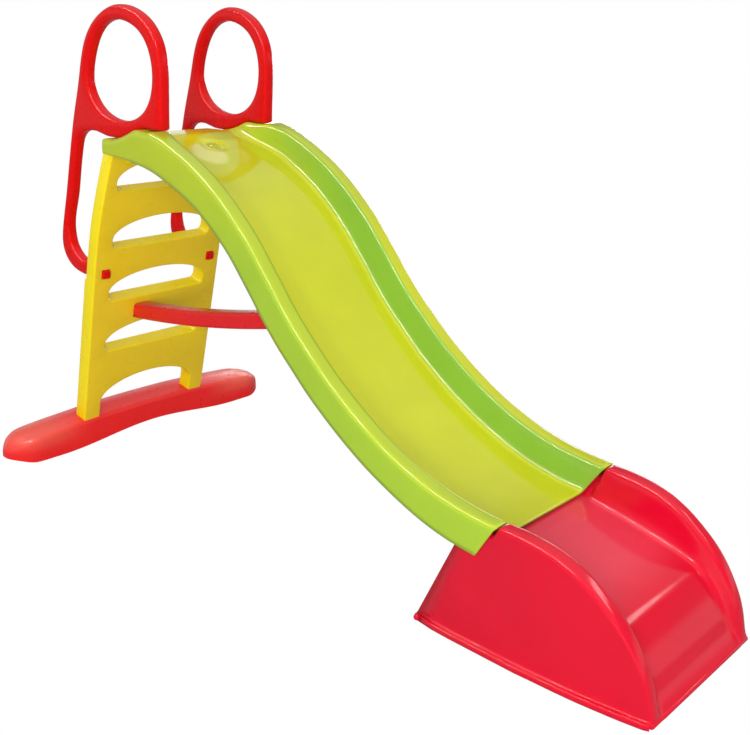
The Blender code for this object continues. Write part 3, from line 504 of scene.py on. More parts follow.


# every plastic's top colour is painted top light, a lighter copy of its own colour for the faces turned up
GREEN = plastic(
    "lime_plastic", srgb(160, 192, 50), srgb(201, 206, 30), roughness=0.11, lows=0.10, highs=0.70, where="painted_top_light",
    layers=(("painted_skirt_light", srgb(182, 200, 44)), ("painted_wall_shade", srgb(128, 175, 56)), ("painted_bed_light", srgb(247, 243, 26)), ("painted_highlight_and_pale_spot", srgb(236, 234, 140))),
    specular=0.4,
)
# painted light: the ladder's treads and edges take the lighter yellow, its flat faces the darker one
YELLOW = plastic("yellow_plastic", srgb(241, 205, 36), srgb(249, 227, 5), roughness=0.3, specular=0.3, face=(math.cos(math.atan(0.29)), 0, -math.sin(math.atan(0.29))))
# the run-out's layer is a painted reflection: a pink sheen on its bed
RUN_RED = plastic("run_out_plastic", srgb(206, 11, 42), srgb(219, 12, 44), roughness=0.12, specular=0.32, layers=(("painted_bed_reflection", srgb(240, 84, 104)),))
GRIP_RED = plastic("grip_plastic", srgb(220, 14, 16), srgb(224, 30, 32), roughness=0.27, specular=0.12)
BRACE_RED = plastic("brace_plastic", srgb(223, 22, 30), srgb(222, 30, 36), roughness=0.3, specular=0.3)
# the foot's layer is painted light on its ends
FOOT_RED = plastic("foot_plastic", srgb(238, 33, 35), srgb(240, 47, 43), roughness=0.3, lows=0.35, highs=0.85, specular=0.35, layers=(("light", srgb(247, 96, 80)),))
INLET = plastic("inlet_plastic", srgb(188, 190, 50), srgb(196, 196, 44), roughness=0.3)
ZINC = zinc("zinc_steel")


def done(obj, material, node):
    """Moves a finished piece to the shared frame, paints it and lets it stand for its node."""
    obj.data.materials.clear()
    obj.data.materials.append(material)
    obj.data.transform(Matrix.Translation((X_SHIFT, Y_SHIFT, 0)))
    obj.data.update()
    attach(obj, "root")
    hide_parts(node)
    return obj


# ----------------------------------------------------------------------- chute
def crest_frames(fractions):
    pts = through([(x, z, 0) for x, z in CREST], 400)
    lengths = np.concatenate([[0], np.cumsum([(b - a).length for a, b in zip(pts, pts[1:])])])
    frames = []
    for fraction in fractions:
        s = lengths[-1] * fraction
        i = min(int(np.searchsorted(lengths, s, side="right")) - 1, len(pts) - 2)
        f = (s - lengths[i]) / (lengths[i + 1] - lengths[i])
        p = pts[i].lerp(pts[i + 1], f)
        lo, hi = max(i - 6, 0), min(i + 7, len(pts) - 1)
        t = (pts[hi] - pts[lo]).normalized()
        frames.append((p.x, p.y, t.x, t.y))
    return frames


def even(count):
    return [k / (count - 1) for k in range(count)]


def bed_line():
    """Points of the bed's middle line with direction and upward normal."""
    line = [Vector((x + tz * table(BED_DEPTH, x), 0, z - tx * table(BED_DEPTH, x))) for x, z, tx, tz in crest_frames(even(400))]
    out = []
    for i, p in enumerate(line):
        t = (line[min(i + 3, 399)] - line[max(i - 3, 0)]).normalized()
        out.append((p, t, Vector((-t.z, 0, t.x))))
    return out


BED_LINE = bed_line()
CREST_X = [f[0] for f in crest_frames(even(400))]


def bed_point(x_crest):
    i = min(range(400), key=lambda k: abs(CREST_X[k] - x_crest))
    return BED_LINE[i]


DISH_AT, DISH_T, DISH_N = bed_point(INLET_X)
DISH_R, DISH_DEPTH = 0.036, 0.0034


def dish_drop(p):
    """How far the bed sinks round the water inlet: a shallow flat-bottomed dish with a soft rim."""
    r = (Vector(p) - DISH_AT).length
    return DISH_DEPTH * (1 - smooth((r - 0.60 * DISH_R) / (0.40 * DISH_R)))


def chute_section(x, z, tx, tz):
    ease = smooth((x + 0.47) / 0.14)
    rail_in = 0.122 + (RAIL_IN_Y - 0.122) * ease
    foot = 0.106 + (BED_Y - 0.106) * ease
    drop = 0.0 if x > -0.385 else max(z - table(SADDLE, x), 0.0)
    bed, skirt = table(BED_DEPTH, x), table(SKIRT_DEPTH, x)
    corners = [(SKIRT_Y, -skirt, 0), (SKIRT_Y - 0.001, -drop, 0), (rail_in, -drop, 0), (foot, -bed, 0), (0, -bed, 0)]
    half = rounded(corners, (0.0105, 0.0085, 0.013), (6, 5, 6), (6, 3, 3, 20))
    nx, nz = -tz, tx
    slide = min(max((x - 0.30) / 0.24, 0), 1)
    rows = []
    for y, n, _ in half:
        px, pz = x + nx * n, z + nz * n
        px += slide * (END_SLOPE * n * nz - (nx * n))
        rows.append((px, y, pz))
    rows = rows[:-1] + [(px, -y, pz) for px, y, pz in reversed(rows)]
    if abs(x - INLET_X) < 0.07:
        rows = [
            tuple(Vector(q) - DISH_N * dish_drop(q)) if abs(q[1]) < 0.06 else q
            for q in rows
        ]
    return rows


def under_bed_near(q):
    best = None
    for p, t, n in BED_LINE:
        p = p - n * WALL
        off = abs((q - p).dot(t))
        if (q - p).length < 0.12 and (best is None or off < best[0]):
            best = (off, p, n)
    return best[1], best[2]


def build_chute():
    stations = [0.19 * u for u in even(56)] + [0.19 + 0.81 * u for u in even(130)[1:]]
    rows = [chute_section(*f) for f in crest_frames(stations)]
    first, x0 = rows[0], rows[0][0][0]
    corner = []
    for k in range(8, 0, -1):
        a = math.pi / 2 * k / 8
        back, inward = REAR_R * math.sin(a), REAR_R * (1 - math.cos(a))
        row = []
        for x, y, z in first:
            up = min(max((z - 0.790) / 0.022, 0), 1)
            side = min(max((abs(y) - 0.150) / 0.040, 0), 1)
            row.append((x0 - back, y - math.copysign(inward * side, y), z - inward * (1 - side) * up))
        corner.append(row)
    bm = bmesh.new()
    verts = grid(bm, corner + rows)
    bm.faces.new(list(reversed(verts[0])))
    obj = thickened(finish_mesh("chute_moulding", bm, 50), WALL)
    px, pz = BRACE_PIN
    cz = brace_top(px) - BRACE_H / 2
    bm = bmesh.new()
    pin = Vector((px, 0, cz))
    base, up = under_bed_near(pin)
    along = Vector((up.z, 0, -up.x))
    for s in (1, -1):
        pts = []
        for k in range(17):
            a = math.pi + math.pi * k / 16
            d = along * (0.015 * math.cos(a)) + up * (0.015 * math.sin(a))
            pts.append((pin.x + d.x, pin.z + d.z))
        for by in (0.030, -0.030):
            q, u = under_bed_near(pin + along * by + up * (base - pin).length)
            pts.append((q.x + u.x * 0.0022, q.z + u.z * 0.0022))
        y0, y1 = BRACE_MID + s * (BRACE_Y + GAP), BRACE_MID + s * (BRACE_Y + GAP + RIB_T)
        prism_into(bm, pts, min(y0, y1), max(y0, y1))
    for x in (-0.30, -0.19, 0.05, 0.17, 0.30, 0.42):
        p, t, n = bed_point(x)
        low, high = -(table(SKIRT_DEPTH, x) - table(BED_DEPTH, x) - 0.002), -WALL + 0.0018
        pts = []
        for a, b in ((-0.0024, high), (-0.0017, low + 0.001), (-0.0010, low), (0.0010, low), (0.0017, low + 0.001), (0.0024, high)):
            q = p + t * a + n * b
            pts.append((q.x, q.z))
        prism_into(bm, pts, -0.118, 0.118)
    pts = []
    for z, w in ((0.754, GAP * 2), (0.754, GAP * 2 + RIB_T), (0.8080, GAP * 2 + RIB_T), (0.8100, GAP * 2)):
        q = on_ladder(0, z, w)
        pts.append((q.x, q.z + (0.0035 if z > 0.8 else 0)))
    prism_into(bm, pts, -0.125, 0.125)
    for s in (1, -1):
        for x in RUNOUT_SCREW_X:
            low = rim_height(x) + 0.0016
            turned(bm, [(0, 0), (0, 0.0056), (table(CREST, x) - 0.0022 - low, 0.0056), (table(CREST, x) - 0.0022 - low, 0)], (x, s * RUNOUT_SCREW_Y, low), (0, 0, 1), 20)
    joined(obj, [finish_mesh("ribs", bm, 40)])

    # painted top light on the chute: the bed takes the lighter top colour in full, the far rail top most of it and the
    # near rail top little, as the light falls on them
    def painted_top_light(p):
        a = abs(p.y)
        if a < 0.143:
            return 1.0
        return (0.85 if p.y > 0 else 0.30) * smooth((a - 0.150) / 0.012) + 0.15

    # painted shade: the inner walls of the channel are darker green, fading out towards the platform
    def painted_wall_shade(p):
        a = abs(p.y)
        span = smooth((p.x + 0.50) / 0.42)
        return 0.95 * span * smooth((a - 0.126) / 0.012) * (1 - smooth((a - 0.149) / 0.012))

    paint(obj, "painted_top_light", painted_top_light)
    paint(obj, "painted_wall_shade", painted_wall_shade)
    # painted light: the outer sides turn lighter and yellower towards their top
    paint(obj, "painted_skirt_light", lambda p: smooth((p.z - 0.56) / 0.24) if abs(p.y) > 0.165 else 0.0)

    # a painted highlight along the rounded rear corner of the outer sides, and a whitish spot painted round the water
    # inlet
    def painted_highlight_and_pale_spot(p):
        rear = 0.62 * smooth((-0.5935 - p.x) / 0.010) * smooth((abs(p.y) - 0.160) / 0.015)
        u, v = (p.x + 0.399) / 0.052, (p.y + 0.040) / 0.047
        spot = 0.72 * (1 - smooth((math.hypot(u, v) - 0.72) / 0.28)) if p.z > 0.70 and abs(p.y) < 0.12 else 0.0
        return max(rear, spot)

    # painted light: the near half of the platform and the bed along the near rail are lighter, against the shade the
    # rail and grips cast there
    def painted_bed_light(p):
        a = abs(p.y)
        if a > 0.150:
            return 0.0
        platform = (1 - smooth((p.x + 0.50) / 0.12)) * (1 - smooth((p.y + 0.02) / 0.10))
        near_side = 0.55 * smooth((-0.070 - p.y) / 0.055)
        return max(platform * 0.9, near_side) * (1 - smooth((a - 0.138) / 0.012))

    paint(obj, "painted_highlight_and_pale_spot", painted_highlight_and_pale_spot)
    paint(obj, "painted_bed_light", painted_bed_light)
    return done(obj, GREEN, "chute")


# --------------------------------------------------------------------- run-out
RUNOUT = [
    (0.368, 0.193, 0.4760, 0.2345, 0.1835, 0.158, 0.4590, 0.1930, 0.1395),
    (0.415, 0.199, 0.4950, 0.2320, 0.1835, 0.158, 0.4780, 0.1900, 0.1395),
    (0.455, 0.200, 0.5130, 0.2300, 0.1835, 0.158, 0.4960, 0.1875, 0.1395),
    (0.490, 0.200, 0.5310, 0.2290, 0.1835, 0.158, 0.5150, 0.1850, 0.1395),
    (0.510, 0.200, 0.5465, 0.2490, 0.1840, 0.153, 0.5350, 0.1830, 0.1345),
    (0.545, 0.200, 0.5770, 0.2480, 0.1838, 0.151, 0.5640, 0.1780, 0.1325),
    (0.590, 0.200, 0.6150, 0.2440, 0.1830, 0.150, 0.6000, 0.1715, 0.132),
    (0.635, 0.198, 0.6580, 0.2345, 0.1815, 0.149, 0.6420, 0.1625, 0.131),
    (0.680, 0.196, 0.7000, 0.2160, 0.1800, 0.148, 0.6850, 0.1520, 0.131),
    (0.722, 0.193, 0.7400, 0.1890, 0.1780, 0.147, 0.7250, 0.1405, 0.131),
    (0.758, 0.189, 0.7760, 0.1570, 0.1755, 0.146, 0.7570, 0.1270, 0.131),
    (0.790, 0.185, 0.8060, 0.1170, 0.1725, 0.145, 0.7880, 0.0960, 0.132),
    (0.815, 0.181, 0.8280, 0.0740, 0.1700, 0.145, 0.8120, 0.0600, 0.133),
    (0.832, 0.178, 0.8400, 0.0340, 0.1670, 0.146, 0.8300, 0.0270, 0.134),
    (0.8425, 0.174, 0.8465, 0.0045, 0.1640, 0.150, 0.8480, 0.0045, 0.136),
]


def rim_height(x):
    return table([(r[2], r[3]) for r in RUNOUT[:4]], x)


def runout_row(c):
    fx, fy, rx, rz, ro, ri, bx, bz, by = c
    foot_y = max(fy - 0.0105, ro + 0.0015)
    near_floor = 1 - smooth((rz - 0.0045) / 0.03)
    foot_y = foot_y + (min(fy - 0.004, 0.1695) - foot_y) * near_floor
    lip = 0.0105
    corners = [
        (fx, fy, 0.0), (fx, fy, min(lip, max(rz, 0.0045))), (fx + 0.001 * near_floor, foot_y, min(lip, max(rz, 0.0045))),
        (rx, ro, rz), (rx, ri, rz), (bx, by, bz), (bx, 0, bz),
    ]
    half = rounded(corners, (0.0038, 0.0045, 0.0095, 0.0075, 0.011), (4, 4, 6, 5, 6), (2, 2, 14, 3, 4, 16))
    half = [tuple(p) for p in half]
    return half[:-1] + [(x, -y, z) for x, y, z in reversed(half)]


def build_run_out():
    data = np.array(RUNOUT)
    # chord lengths along the rim are the parameter, each column is a smooth curve of it
    steps = np.hypot(np.diff(data[:, 2]), np.diff(data[:, 3]))
    steps[3] = max(steps[3], 0.02)
    at = np.concatenate([[0], np.cumsum(steps)])
    rows = []
    columns = [[(float(a), float(v)) for a, v in zip(at, data[:, k])] for k in range(9)]
    for k in range(3):
        rows.append(runout_row(data[k]))
    inner = np.concatenate([np.linspace(at[3], at[4], 7)[:-1], np.linspace(at[4], at[-1], 84)])
    for a in inner:
        if a <= at[4]:
            f = (a - at[3]) / (at[4] - at[3])
            g = smooth(f)
            row = data[3] * (1 - f) + data[4] * f
            for k in (3, 5, 8):
                row[k] = data[3][k] * (1 - g) + data[4][k] * g
        else:
            row = np.array([table(columns[k][4:], a) for k in range(9)])
        rows.append(runout_row(row))
    bm = bmesh.new()
    grid(bm, rows)
    obj = thickened(finish_mesh("run_out_moulding", bm, 50), 0.0040)
    for v in obj.data.vertices:
        if v.co.z < 0.0:
            v.co.z = 0.0
    # a web under the bed's bend and one at the rear stiffen the shell from inside
    bm = bmesh.new()
    for x, top in ((0.560, 0.1715), (0.700, 0.1405)):
        pts = [(x - 0.0017, top - 0.030), (x + 0.0017, top - 0.030), (x + 0.0022, top + 0.0015), (x - 0.0022, top + 0.0015)]
        prism_into(bm, pts, -0.128, 0.128)
    # rolled edge along the floor at the front, with its turned-in ends, and the beads at the rear corners
    turned(bm, [(0, 0), (0.0004, 0.0026), (0.0018, 0.0042), (0.0040, 0.0050), (0.3380, 0.0050), (0.3402, 0.0042), (0.3416, 0.0026), (0.3420, 0)], (0.8422, -0.1710, 0.0052), (0, 1, 0), 24)
    for s in (1, -1):
        turned(bm, [(0.0062 * (1 - math.cos(math.pi * k / 12)), 0.0062 * math.sin(math.pi * k / 12)) for k in range(12)] + [(0.0124, 0)], (0.3745, s * 0.1935, 0.0003), (0, 0, 1), 24)
    joined(obj, [finish_mesh("webs", bm, 40)])
    # painted reflection: the bed turns pink up to its bend, as a sheen of the white studio would make it
    paint(obj, "painted_bed_reflection", lambda p: 0.42 * (1 - smooth((abs(p.y) - 0.128) / 0.010)) * (1 - smooth((p.x - 0.66) / 0.10)))
    return done(obj, RUN_RED, "run_out_foot")


# ---------------------------------------------------------------------- ladder
def on_ladder(y, z, w):
    return Vector((LADDER_X0, 0, 0)) + T_AXIS * (z / math.cos(ALPHA)) + N_AXIS * w + Vector((0, y, 0))


def ladder_outline():
    right = [Vector((LADDER_Y, z)) for z in (LEG_BOTTOM, 0.12, 0.20, 0.29, 0.38, 0.44, 0.47)]
    curve = through([(0.187, 0.50, 0), (0.184, 0.597, 0), (0.1755, 0.68, 0), (0.1650, 0.754, 0), (0.1630, 0.765, 0)], 24)
    right += [Vector((p.x, p.y)) for p in curve]
    right += [Vector((0.1614, 0.7705)), Vector((0.1585, 0.7738)), Vector((0.151, LADDER_TOP))]
    arch = [Vector((OPEN_Y, LEG_BOTTOM)), Vector((OPEN_Y, ARCH_LOW - 0.02))]
    for k in range(41):
        a = math.pi * k / 40
        arch.append(Vector((OPEN_Y * math.cos(a), ARCH_LOW + ARCH_RISE * math.sin(a))))
    arch += [Vector((-OPEN_Y, ARCH_LOW - 0.02)), Vector((-OPEN_Y, LEG_BOTTOM))]
    left = [Vector((-p.x, p.y)) for p in reversed(right)]
    return right + left + list(reversed(arch))


def opening(bottom):
    r = 0.013
    pts = [Vector((0, bottom)), Vector((0.07, bottom))]
    for k in range(7):
        a = -math.pi / 2 + math.pi / 2 * k / 6
        pts.append(Vector((OPEN_Y - r + r * math.cos(a), bottom + r + r * math.sin(a))))
    for k in range(41):
        a = math.pi * k / 40
        pts.append(Vector((OPEN_Y * math.cos(a), bottom + OPEN_LOW + OPEN_RISE * math.sin(a))))
    for k in range(7):
        a = math.pi + math.pi / 2 * k / 6
        pts.append(Vector((-OPEN_Y + r + r * math.cos(a), bottom + r + r * math.sin(a))))
    pts.append(Vector((-0.07, bottom)))
    return list(reversed(pts))


def square(y, z, h, v):
    return [Vector(p) for p in ((y - h, z - v), (y - h, z + v), (y + h, z + v), (y + h, z - v))]


def tenon_y():
    x = LADDER_X0 + LEAN * TENON_Z - 0.02
    return GRIP_Y + GRIP_TOE * (GRIP_X - x)


def build_ladder():
    outline = ladder_outline()
    if area(outline) < 0:
        outline.reverse()
    loops = [outline] + [opening(b) for b in OPEN_BOTTOMS]
    loops += [square(s * tenon_y(), TENON_Z - 0.004, TENON_W / 2 + 0.0008, TENON_H / 2 + 0.0016) for s in (1, -1)]
    for ring in loops[1:]:
        if area(ring) > 0:
            ring.reverse()
    bm = bmesh.new()
    caps = ([], [])
    for index, ring in enumerate(loops):
        r = 0.0008 if index > len(OPEN_BOTTOMS) else 0.0042
        rows, flats = [], []
        for front in (True, False):
            levels = []
            for k in range(5):
                a = math.pi / 2 * k / 4
                levels.append((r * (1 - math.sin(a)), r * (1 - math.cos(a))))
            for d, w in levels if front else reversed(levels):
                flat = inset(ring, d)
                depth = -w if front else w - LADDER_T
                rows.append([bm.verts.new(on_ladder(p.x, p.y, depth)) for p in flat])
                flats.append(flat)
        walls(bm, rows)
        caps[0].append(list(zip(rows[0], flats[0])))
        caps[1].append(list(zip(rows[-1], flats[-1])))
    for cap in caps:
        faces_between(bm, cap)
    obj = finish_mesh("ladder_panel", bm, 50)
    bm = bmesh.new()
    rings = [
        [bm.verts.new(on_ladder(y, NOTCH_Z, w) + T_AXIS * up) for y, w in ((-0.25, -LADDER_T_TOP), (0.25, -LADDER_T_TOP), (0.25, -0.08), (-0.25, -0.08))]
        for up in (0, 0.45)
    ]
    bm.faces.new(rings[0])
    bm.faces.new(rings[1])
    walls(bm, rings)
    cut(obj, [helper(bm)])
    bevel = obj.modifiers.new("edge", "BEVEL")
    bevel.width = 0.0022
    bevel.segments = 3
    bevel.limit_method = "ANGLE"
    bevel.angle_limit = math.radians(60)
    bevel.use_clamp_overlap = True
    baked(obj)
    obj.data.set_sharp_from_angle(angle=math.radians(40))
    return done(obj, YELLOW, "ladder")


# ------------------------------------------------------------------- base foot
def foot_low(y):
    a = abs(y - FOOT_Y)
    return FOOT_ARCH * 0.5 * (1 + math.cos(math.pi * min(a / 0.28, 1))) + FOOT_TIP * smooth((a - 0.345) / 0.0575)


def foot_row(y):
    a = abs(y - FOOT_Y)
    centre = (FOOT_FRONT + FOOT_BACK) / 2
    half = (FOOT_FRONT - FOOT_BACK) / 2
    y0 = FOOT_HALF - 0.075
    if a > y0:
        half *= math.sqrt(max(1 - ((a - y0) / (FOOT_HALF - y0 + 0.0006)) ** 2, 0))
        half = max(half, 0.006)
    top = table([(0, 0.0870), (0.10, 0.0860), (0.20, 0.0810), (0.30, 0.0745), (0.35, 0.0690), (0.38, 0.058), (FOOT_HALF, 0.034)], a)
    low = foot_low(y)
    edge = top - min(0.009, 0.3 * half)
    corners = [
        (centre + half, y, low), (centre + half, y, edge), (centre + 0.1 * half, y, top + 0.001),
        (centre - 0.85 * half, y, edge - 0.001), (centre - half, y, low),
    ]
    return [tuple(p) for p in rounded(corners, (0.011, 0.03, 0.013), (7, 6, 7), (4, 3, 3, 4))]


def leg_seat(s):
    return on_ladder(s * (OPEN_Y + LADDER_Y) / 2, LEG_BOTTOM - 0.012, -0.021)


def build_base_foot():
    ends = [FOOT_HALF - 0.075 * (1 - math.cos(math.pi / 2 * k / 18)) for k in range(18)]
    ys = ends + [0.3275 - 0.3275 * k / 26 for k in range(26)]
    ys = [FOOT_Y - y for y in ys] + [FOOT_Y] + [FOOT_Y + y for y in reversed(ys)]
    bm = bmesh.new()
    rows = [foot_row(y) for y in ys]
    verts = [[bm.verts.new(p) for p in row] for row in rows]
    walls(bm, verts)
    bm.faces.new(list(reversed(verts[0])))
    bm.faces.new(verts[-1])
    obj = finish_mesh("base_foot_moulding", bm, 45)
    cutters = []
    for y0, y1, z1 in ((-0.124, 0.124, 0.064), (0.206, 0.315, 0.052), (-0.280, -0.206, 0.052)):
        cutters.append(helper(block(FOOT_BACK + 0.0085, FOOT_FRONT - 0.0065, y0, y1, -0.02, z1)))
    for s in (1, -1):
        bm = bmesh.new()
        y0, y1 = OPEN_Y - GAP, LADDER_Y + GAP
        lower = [on_ladder(y, LEG_BOTTOM - GAP, w) for y, w in ((y0, GAP), (y1, GAP), (y1, -LADDER_T - GAP), (y0, -LADDER_T - GAP))]
        rings = [[bm.verts.new((p.x, s * p.y, p.z)) for p in ring] for ring in (lower, [p + T_AXIS * 0.10 for p in lower])]
        bm.faces.new(rings[0])
        bm.faces.new(rings[1])
        walls(bm, rings)
        cutters.append(helper(bm))
        cutters.append(helper(rod(leg_seat(s) - T_AXIS * 0.05, T_AXIS, 0.05, 0.0062)))
    cut(obj, cutters)
    obj.data.polygons.foreach_set("use_smooth", [True] * len(obj.data.polygons))
    obj.data.set_sharp_from_angle(angle=math.radians(35))
    # painted light: the foot's ends and upper parts are lighter, the far end most
    paint(obj, "light", lambda p: (1.0 if p.y > 0 else 0.75) * smooth((abs(p.y - FOOT_Y) - 0.17) / 0.15) * smooth((p.z - 0.018) / 0.04))
    return done(obj, FOOT_RED, "base_foot")


# ----------------------------------------------------------------------- grips
GRIP_OUTER = [
    (-0.400, 0.920), (-0.396, 0.975), (-0.400, 1.006), (-0.414, 1.036), (-0.442, 1.066),
    (-0.480, 1.086), (-0.545, 1.098), (-0.597, 1.085), (-0.636, 1.064), (-0.668, 1.034),
    (-0.692, 0.990), (-0.711, 0.937), (-0.748, 0.850), (-0.776, 0.771), (-0.809, 0.672),
    (-0.844, 0.575), (-0.852, 0.545), (-0.848, 0.518), (-0.829, 0.491), (-0.800, 0.4745),
    (-0.765, 0.4690),
]
GRIP_BACK = [
    (-0.765, 0.5050), (-0.790, 0.5160), (-0.812, 0.538), (-0.818, 0.565), (-0.784, 0.672),
    (-0.752, 0.771), (-0.738, 0.803), (-0.715, 0.8190), (-0.690, 0.8240), (-0.660, 0.8235),
]
GRIP_HOLE = [
    (-0.551, 1.067), (-0.497, 1.057), (-0.455, 1.033), (-0.432, 0.993), (-0.429, 0.942),
    (-0.450, 0.892), (-0.497, 0.860), (-0.547, 0.851), (-0.605, 0.859), (-0.645, 0.878),
    (-0.672, 0.911), (-0.679, 0.942), (-0.664, 0.985), (-0.636, 1.030), (-0.604, 1.055),
]


def grip_outline():
    end = LADDER_X0 + LEAN * TENON_Z - LADDER_T_TOP / math.cos(ALPHA)
    outer = relaxed(through([(x, z, 0) for x, z in GRIP_OUTER], 130), 10)
    back = relaxed(through([(x, z, 0) for x, z in GRIP_BACK], 56), 4)
    points = [Vector((-0.4055, 0.862)), Vector((-0.4035, 0.884)), Vector((-0.4015, 0.902))] + [Vector((p.x, p.y)) for p in outer]
    for z in (0.4695, 0.4865, 0.5035):
        points.append(Vector((end - GAP + LEAN * (z - TENON_Z), z)))
    points += [Vector((p.x, p.y)) for p in back]
    for x in np.linspace(-0.650, -0.4105, 60):
        points.append(Vector((float(x), table(SADDLE, float(x)) + 0.0004)))
    points.append(Vector((-0.4070, table(SADDLE, -0.4070) + 0.0030)))
    return points


def build_grip(side, s):
    outer = grip_outline()
    if area(outer) < 0:
        outer.reverse()
    hole = [Vector((p.x, p.y)) for p in relaxed(through([(x, z, 0) for x, z in GRIP_HOLE], 96, closed=True), 12, closed=True)]
    if area(hole) > 0:
        hole.reverse()
    levels = []
    for k in range(7):
        a = math.pi / 2 * k / 6
        levels.append((GRIP_T / 2 - GRIP_EDGE * (1 - math.cos(a)), GRIP_EDGE * (1 - math.sin(a))))
    levels = levels + [(-h, d) for h, d in reversed(levels)]
    bm = bmesh.new()

    def place(p, h):
        return bm.verts.new((p.x, s * (GRIP_Y + GRIP_TOE * (GRIP_X - p.x) + h), p.y))

    caps = [[], []]
    for ring in (outer, hole):
        made = []
        for i, (h, d) in enumerate(levels):
            flat = inset(ring, d * (1.0 if ring is hole else 0.92))
            verts = [place(p, h) for p in flat]
            made.append(verts)
            if i == 0:
                caps[0].append(list(zip(verts, flat)))
            if i == len(levels) - 1:
                caps[1].append(list(zip(verts, flat)))
        walls(bm, made)
    for cap in caps:
        faces_between(bm, cap)
    obj = finish_mesh("grip_" + side, bm, 50)
    y = s * tenon_y()
    bm = bmesh.new()
    rings = []
    for w, k in ((-LADDER_T_TOP - 0.012, 1.0), (TENON_OUT - 0.0022, 1.0), (TENON_OUT - 0.0008, 0.95), (TENON_OUT, 0.84)):
        rings.append([
            bm.verts.new(on_ladder(y + dy * TENON_W / 2 * k, TENON_Z - 0.004 + dz * TENON_H / 2 * k, w))
            for dy, dz in ((-0.8, -1), (0.8, -1), (1, -0.8), (1, 0.8), (0.8, 1), (-0.8, 1), (-1, 0.8), (-1, -0.8))
        ])
    bm.faces.new(rings[0])
    bm.faces.new(rings[-1])
    walls(bm, rings)
    joined(obj, [finish_mesh("tenon", bm, 40)])
    return done(obj, GRIP_RED, "handle_" + side)


# ----------------------------------------------------------------------- brace
def brace_top(x):
    d = x + 0.72
    return 0.385 + 0.0735 * d + 0.13 * d * d


def build_brace():
    px, pz = BRACE_PIN
    start = LADDER_X0 + LEAN * 0.36 + GAP
    xs = np.linspace(start, px, 40)
    top = [(float(x), brace_top(float(x))) for x in xs]
    bottom = [(float(x), brace_top(float(x)) - BRACE_H) for x in xs]
    top[0] = (LADDER_X0 + LEAN * top[0][1] + GAP * 1.5, top[0][1])
    bottom[0] = (LADDER_X0 + LEAN * bottom[0][1] + GAP * 1.5, bottom[0][1])
    slope = math.atan(0.0735 + 0.26 * (px + 0.72))
    cz = (top[-1][1] + bottom[-1][1]) / 2
    r = BRACE_H / 2 * math.cos(slope)
    nose = []
    for k in range(25):
        a = math.pi / 2 - math.pi * k / 24 + slope
        nose.append((px + r * math.cos(a), cz + r * math.sin(a)))
    # the end on the ladder turns down with a small radius at its top and bottom
    t0, b0 = Vector(top[0]), Vector(bottom[0])
    outline = [Vector(p) for p in top[1:-1] + nose + list(reversed(bottom[1:-1]))]
    up = (t0 - b0).normalized()
    for corner, turn in ((b0, 1), (t0, -1)):
        neighbour = outline[-1] if turn == 1 else outline[0]
        to = (neighbour - corner).normalized()
        a, b = corner + to * 0.007, corner + up * 0.007 * turn
        arc = [a * (1 - t) ** 2 + corner * 2 * t * (1 - t) + b * t * t for t in (0, 0.2, 0.4, 0.6, 0.8, 1)]
        outline += arc if turn == 1 else list(reversed(arc))
    if area(outline) < 0:
        outline.reverse()
    bm = bmesh.new()
    e = 0.008
    levels = []
    for k in range(7):
        a = math.pi / 2 * k / 6
        levels.append((BRACE_Y - e * (1 - math.cos(a)), e * (1 - math.sin(a))))
    levels = [(BRACE_MID + h, d) for h, d in levels] + [(BRACE_MID - h, d) for h, d in reversed(levels)]
    made, caps = [], []
    for h, d in levels:
        flat = inset(outline, d)
        verts = [bm.verts.new((p.x, h, p.y)) for p in flat]
        made.append(verts)
        caps.append(list(zip(verts, flat)))
    walls(bm, made)
    faces_between(bm, [caps[0]])
    faces_between(bm, [caps[-1]])
    return done(finish_mesh("brace_bar", bm, 50), BRACE_RED, "brace"), cz


# ------------------------------------------------------------------- fasteners
def cross_depth(x, y):
    """Depth of a cross-shaped driver recess at a point of the head, with tapered flanks."""
    arm, half = 0.0027, 0.00055
    best = 0.0
    for a, b in ((x, y), (y, x)):
        flank = 1 - smooth((abs(b) - half * 0.6) / (half * 0.9))
        end = 1 - smooth((abs(a) - arm * 0.55) / (arm * 0.45))
        best = max(best, flank * end)
    return 0.0016 * best


def build_screw(node, seat, axis, length):
    axis = Vector(axis).normalized()
    side = axis.orthogonal().normalized()
    other = axis.cross(side)
    bm = bmesh.new()
    segments = 48

    def ring(along, radius, recess=False):
        out = []
        for k in range(segments):
            a = 2 * math.pi * k / segments
            x, y = radius * math.cos(a), radius * math.sin(a)
            depth = cross_depth(x, y) if recess else 0.0
            out.append(bm.verts.new(Vector(seat) + axis * (along + depth) + side * x + other * y))
        return out

    rows = []
    for k in range(1, 15):  # the domed head, from its middle outwards
        radius = HEAD_R * 0.93 * k / 14
        rows.append(ring(-0.0030 + 0.0011 * (k / 14) ** 2.4, radius, True))
    rows.append(ring(-0.0015, HEAD_R))
    rows.append(ring(-0.0002, HEAD_R))
    rows.append(ring(-0.0001, HEAD_R * 0.97))
    rows.append(ring(-0.0001, SHANK_R))
    # threaded shank with a cutting point
    pitch = 0.0016
    turns = int((length - 0.004) / pitch)
    for k in range(turns * 2):
        rows.append(ring(0.0008 + pitch * k / 2, SHANK_R * (0.99 if k % 2 else 0.76)))
    rows.append(ring(length - 0.0025, SHANK_R * 0.76))
    rows.append(ring(length - 0.0002, 0.0002))
    walls(bm, rows)
    middle = bm.verts.new(Vector(seat) + axis * (-0.0030 + cross_depth(0, 0)))
    for k in range(segments):
        bm.faces.new((middle, rows[0][(k + 1) % segments], rows[0][k]))
    bm.faces.new(rows[-1])
    return done(finish_mesh(node + "_detail", bm, 40), ZINC, node)


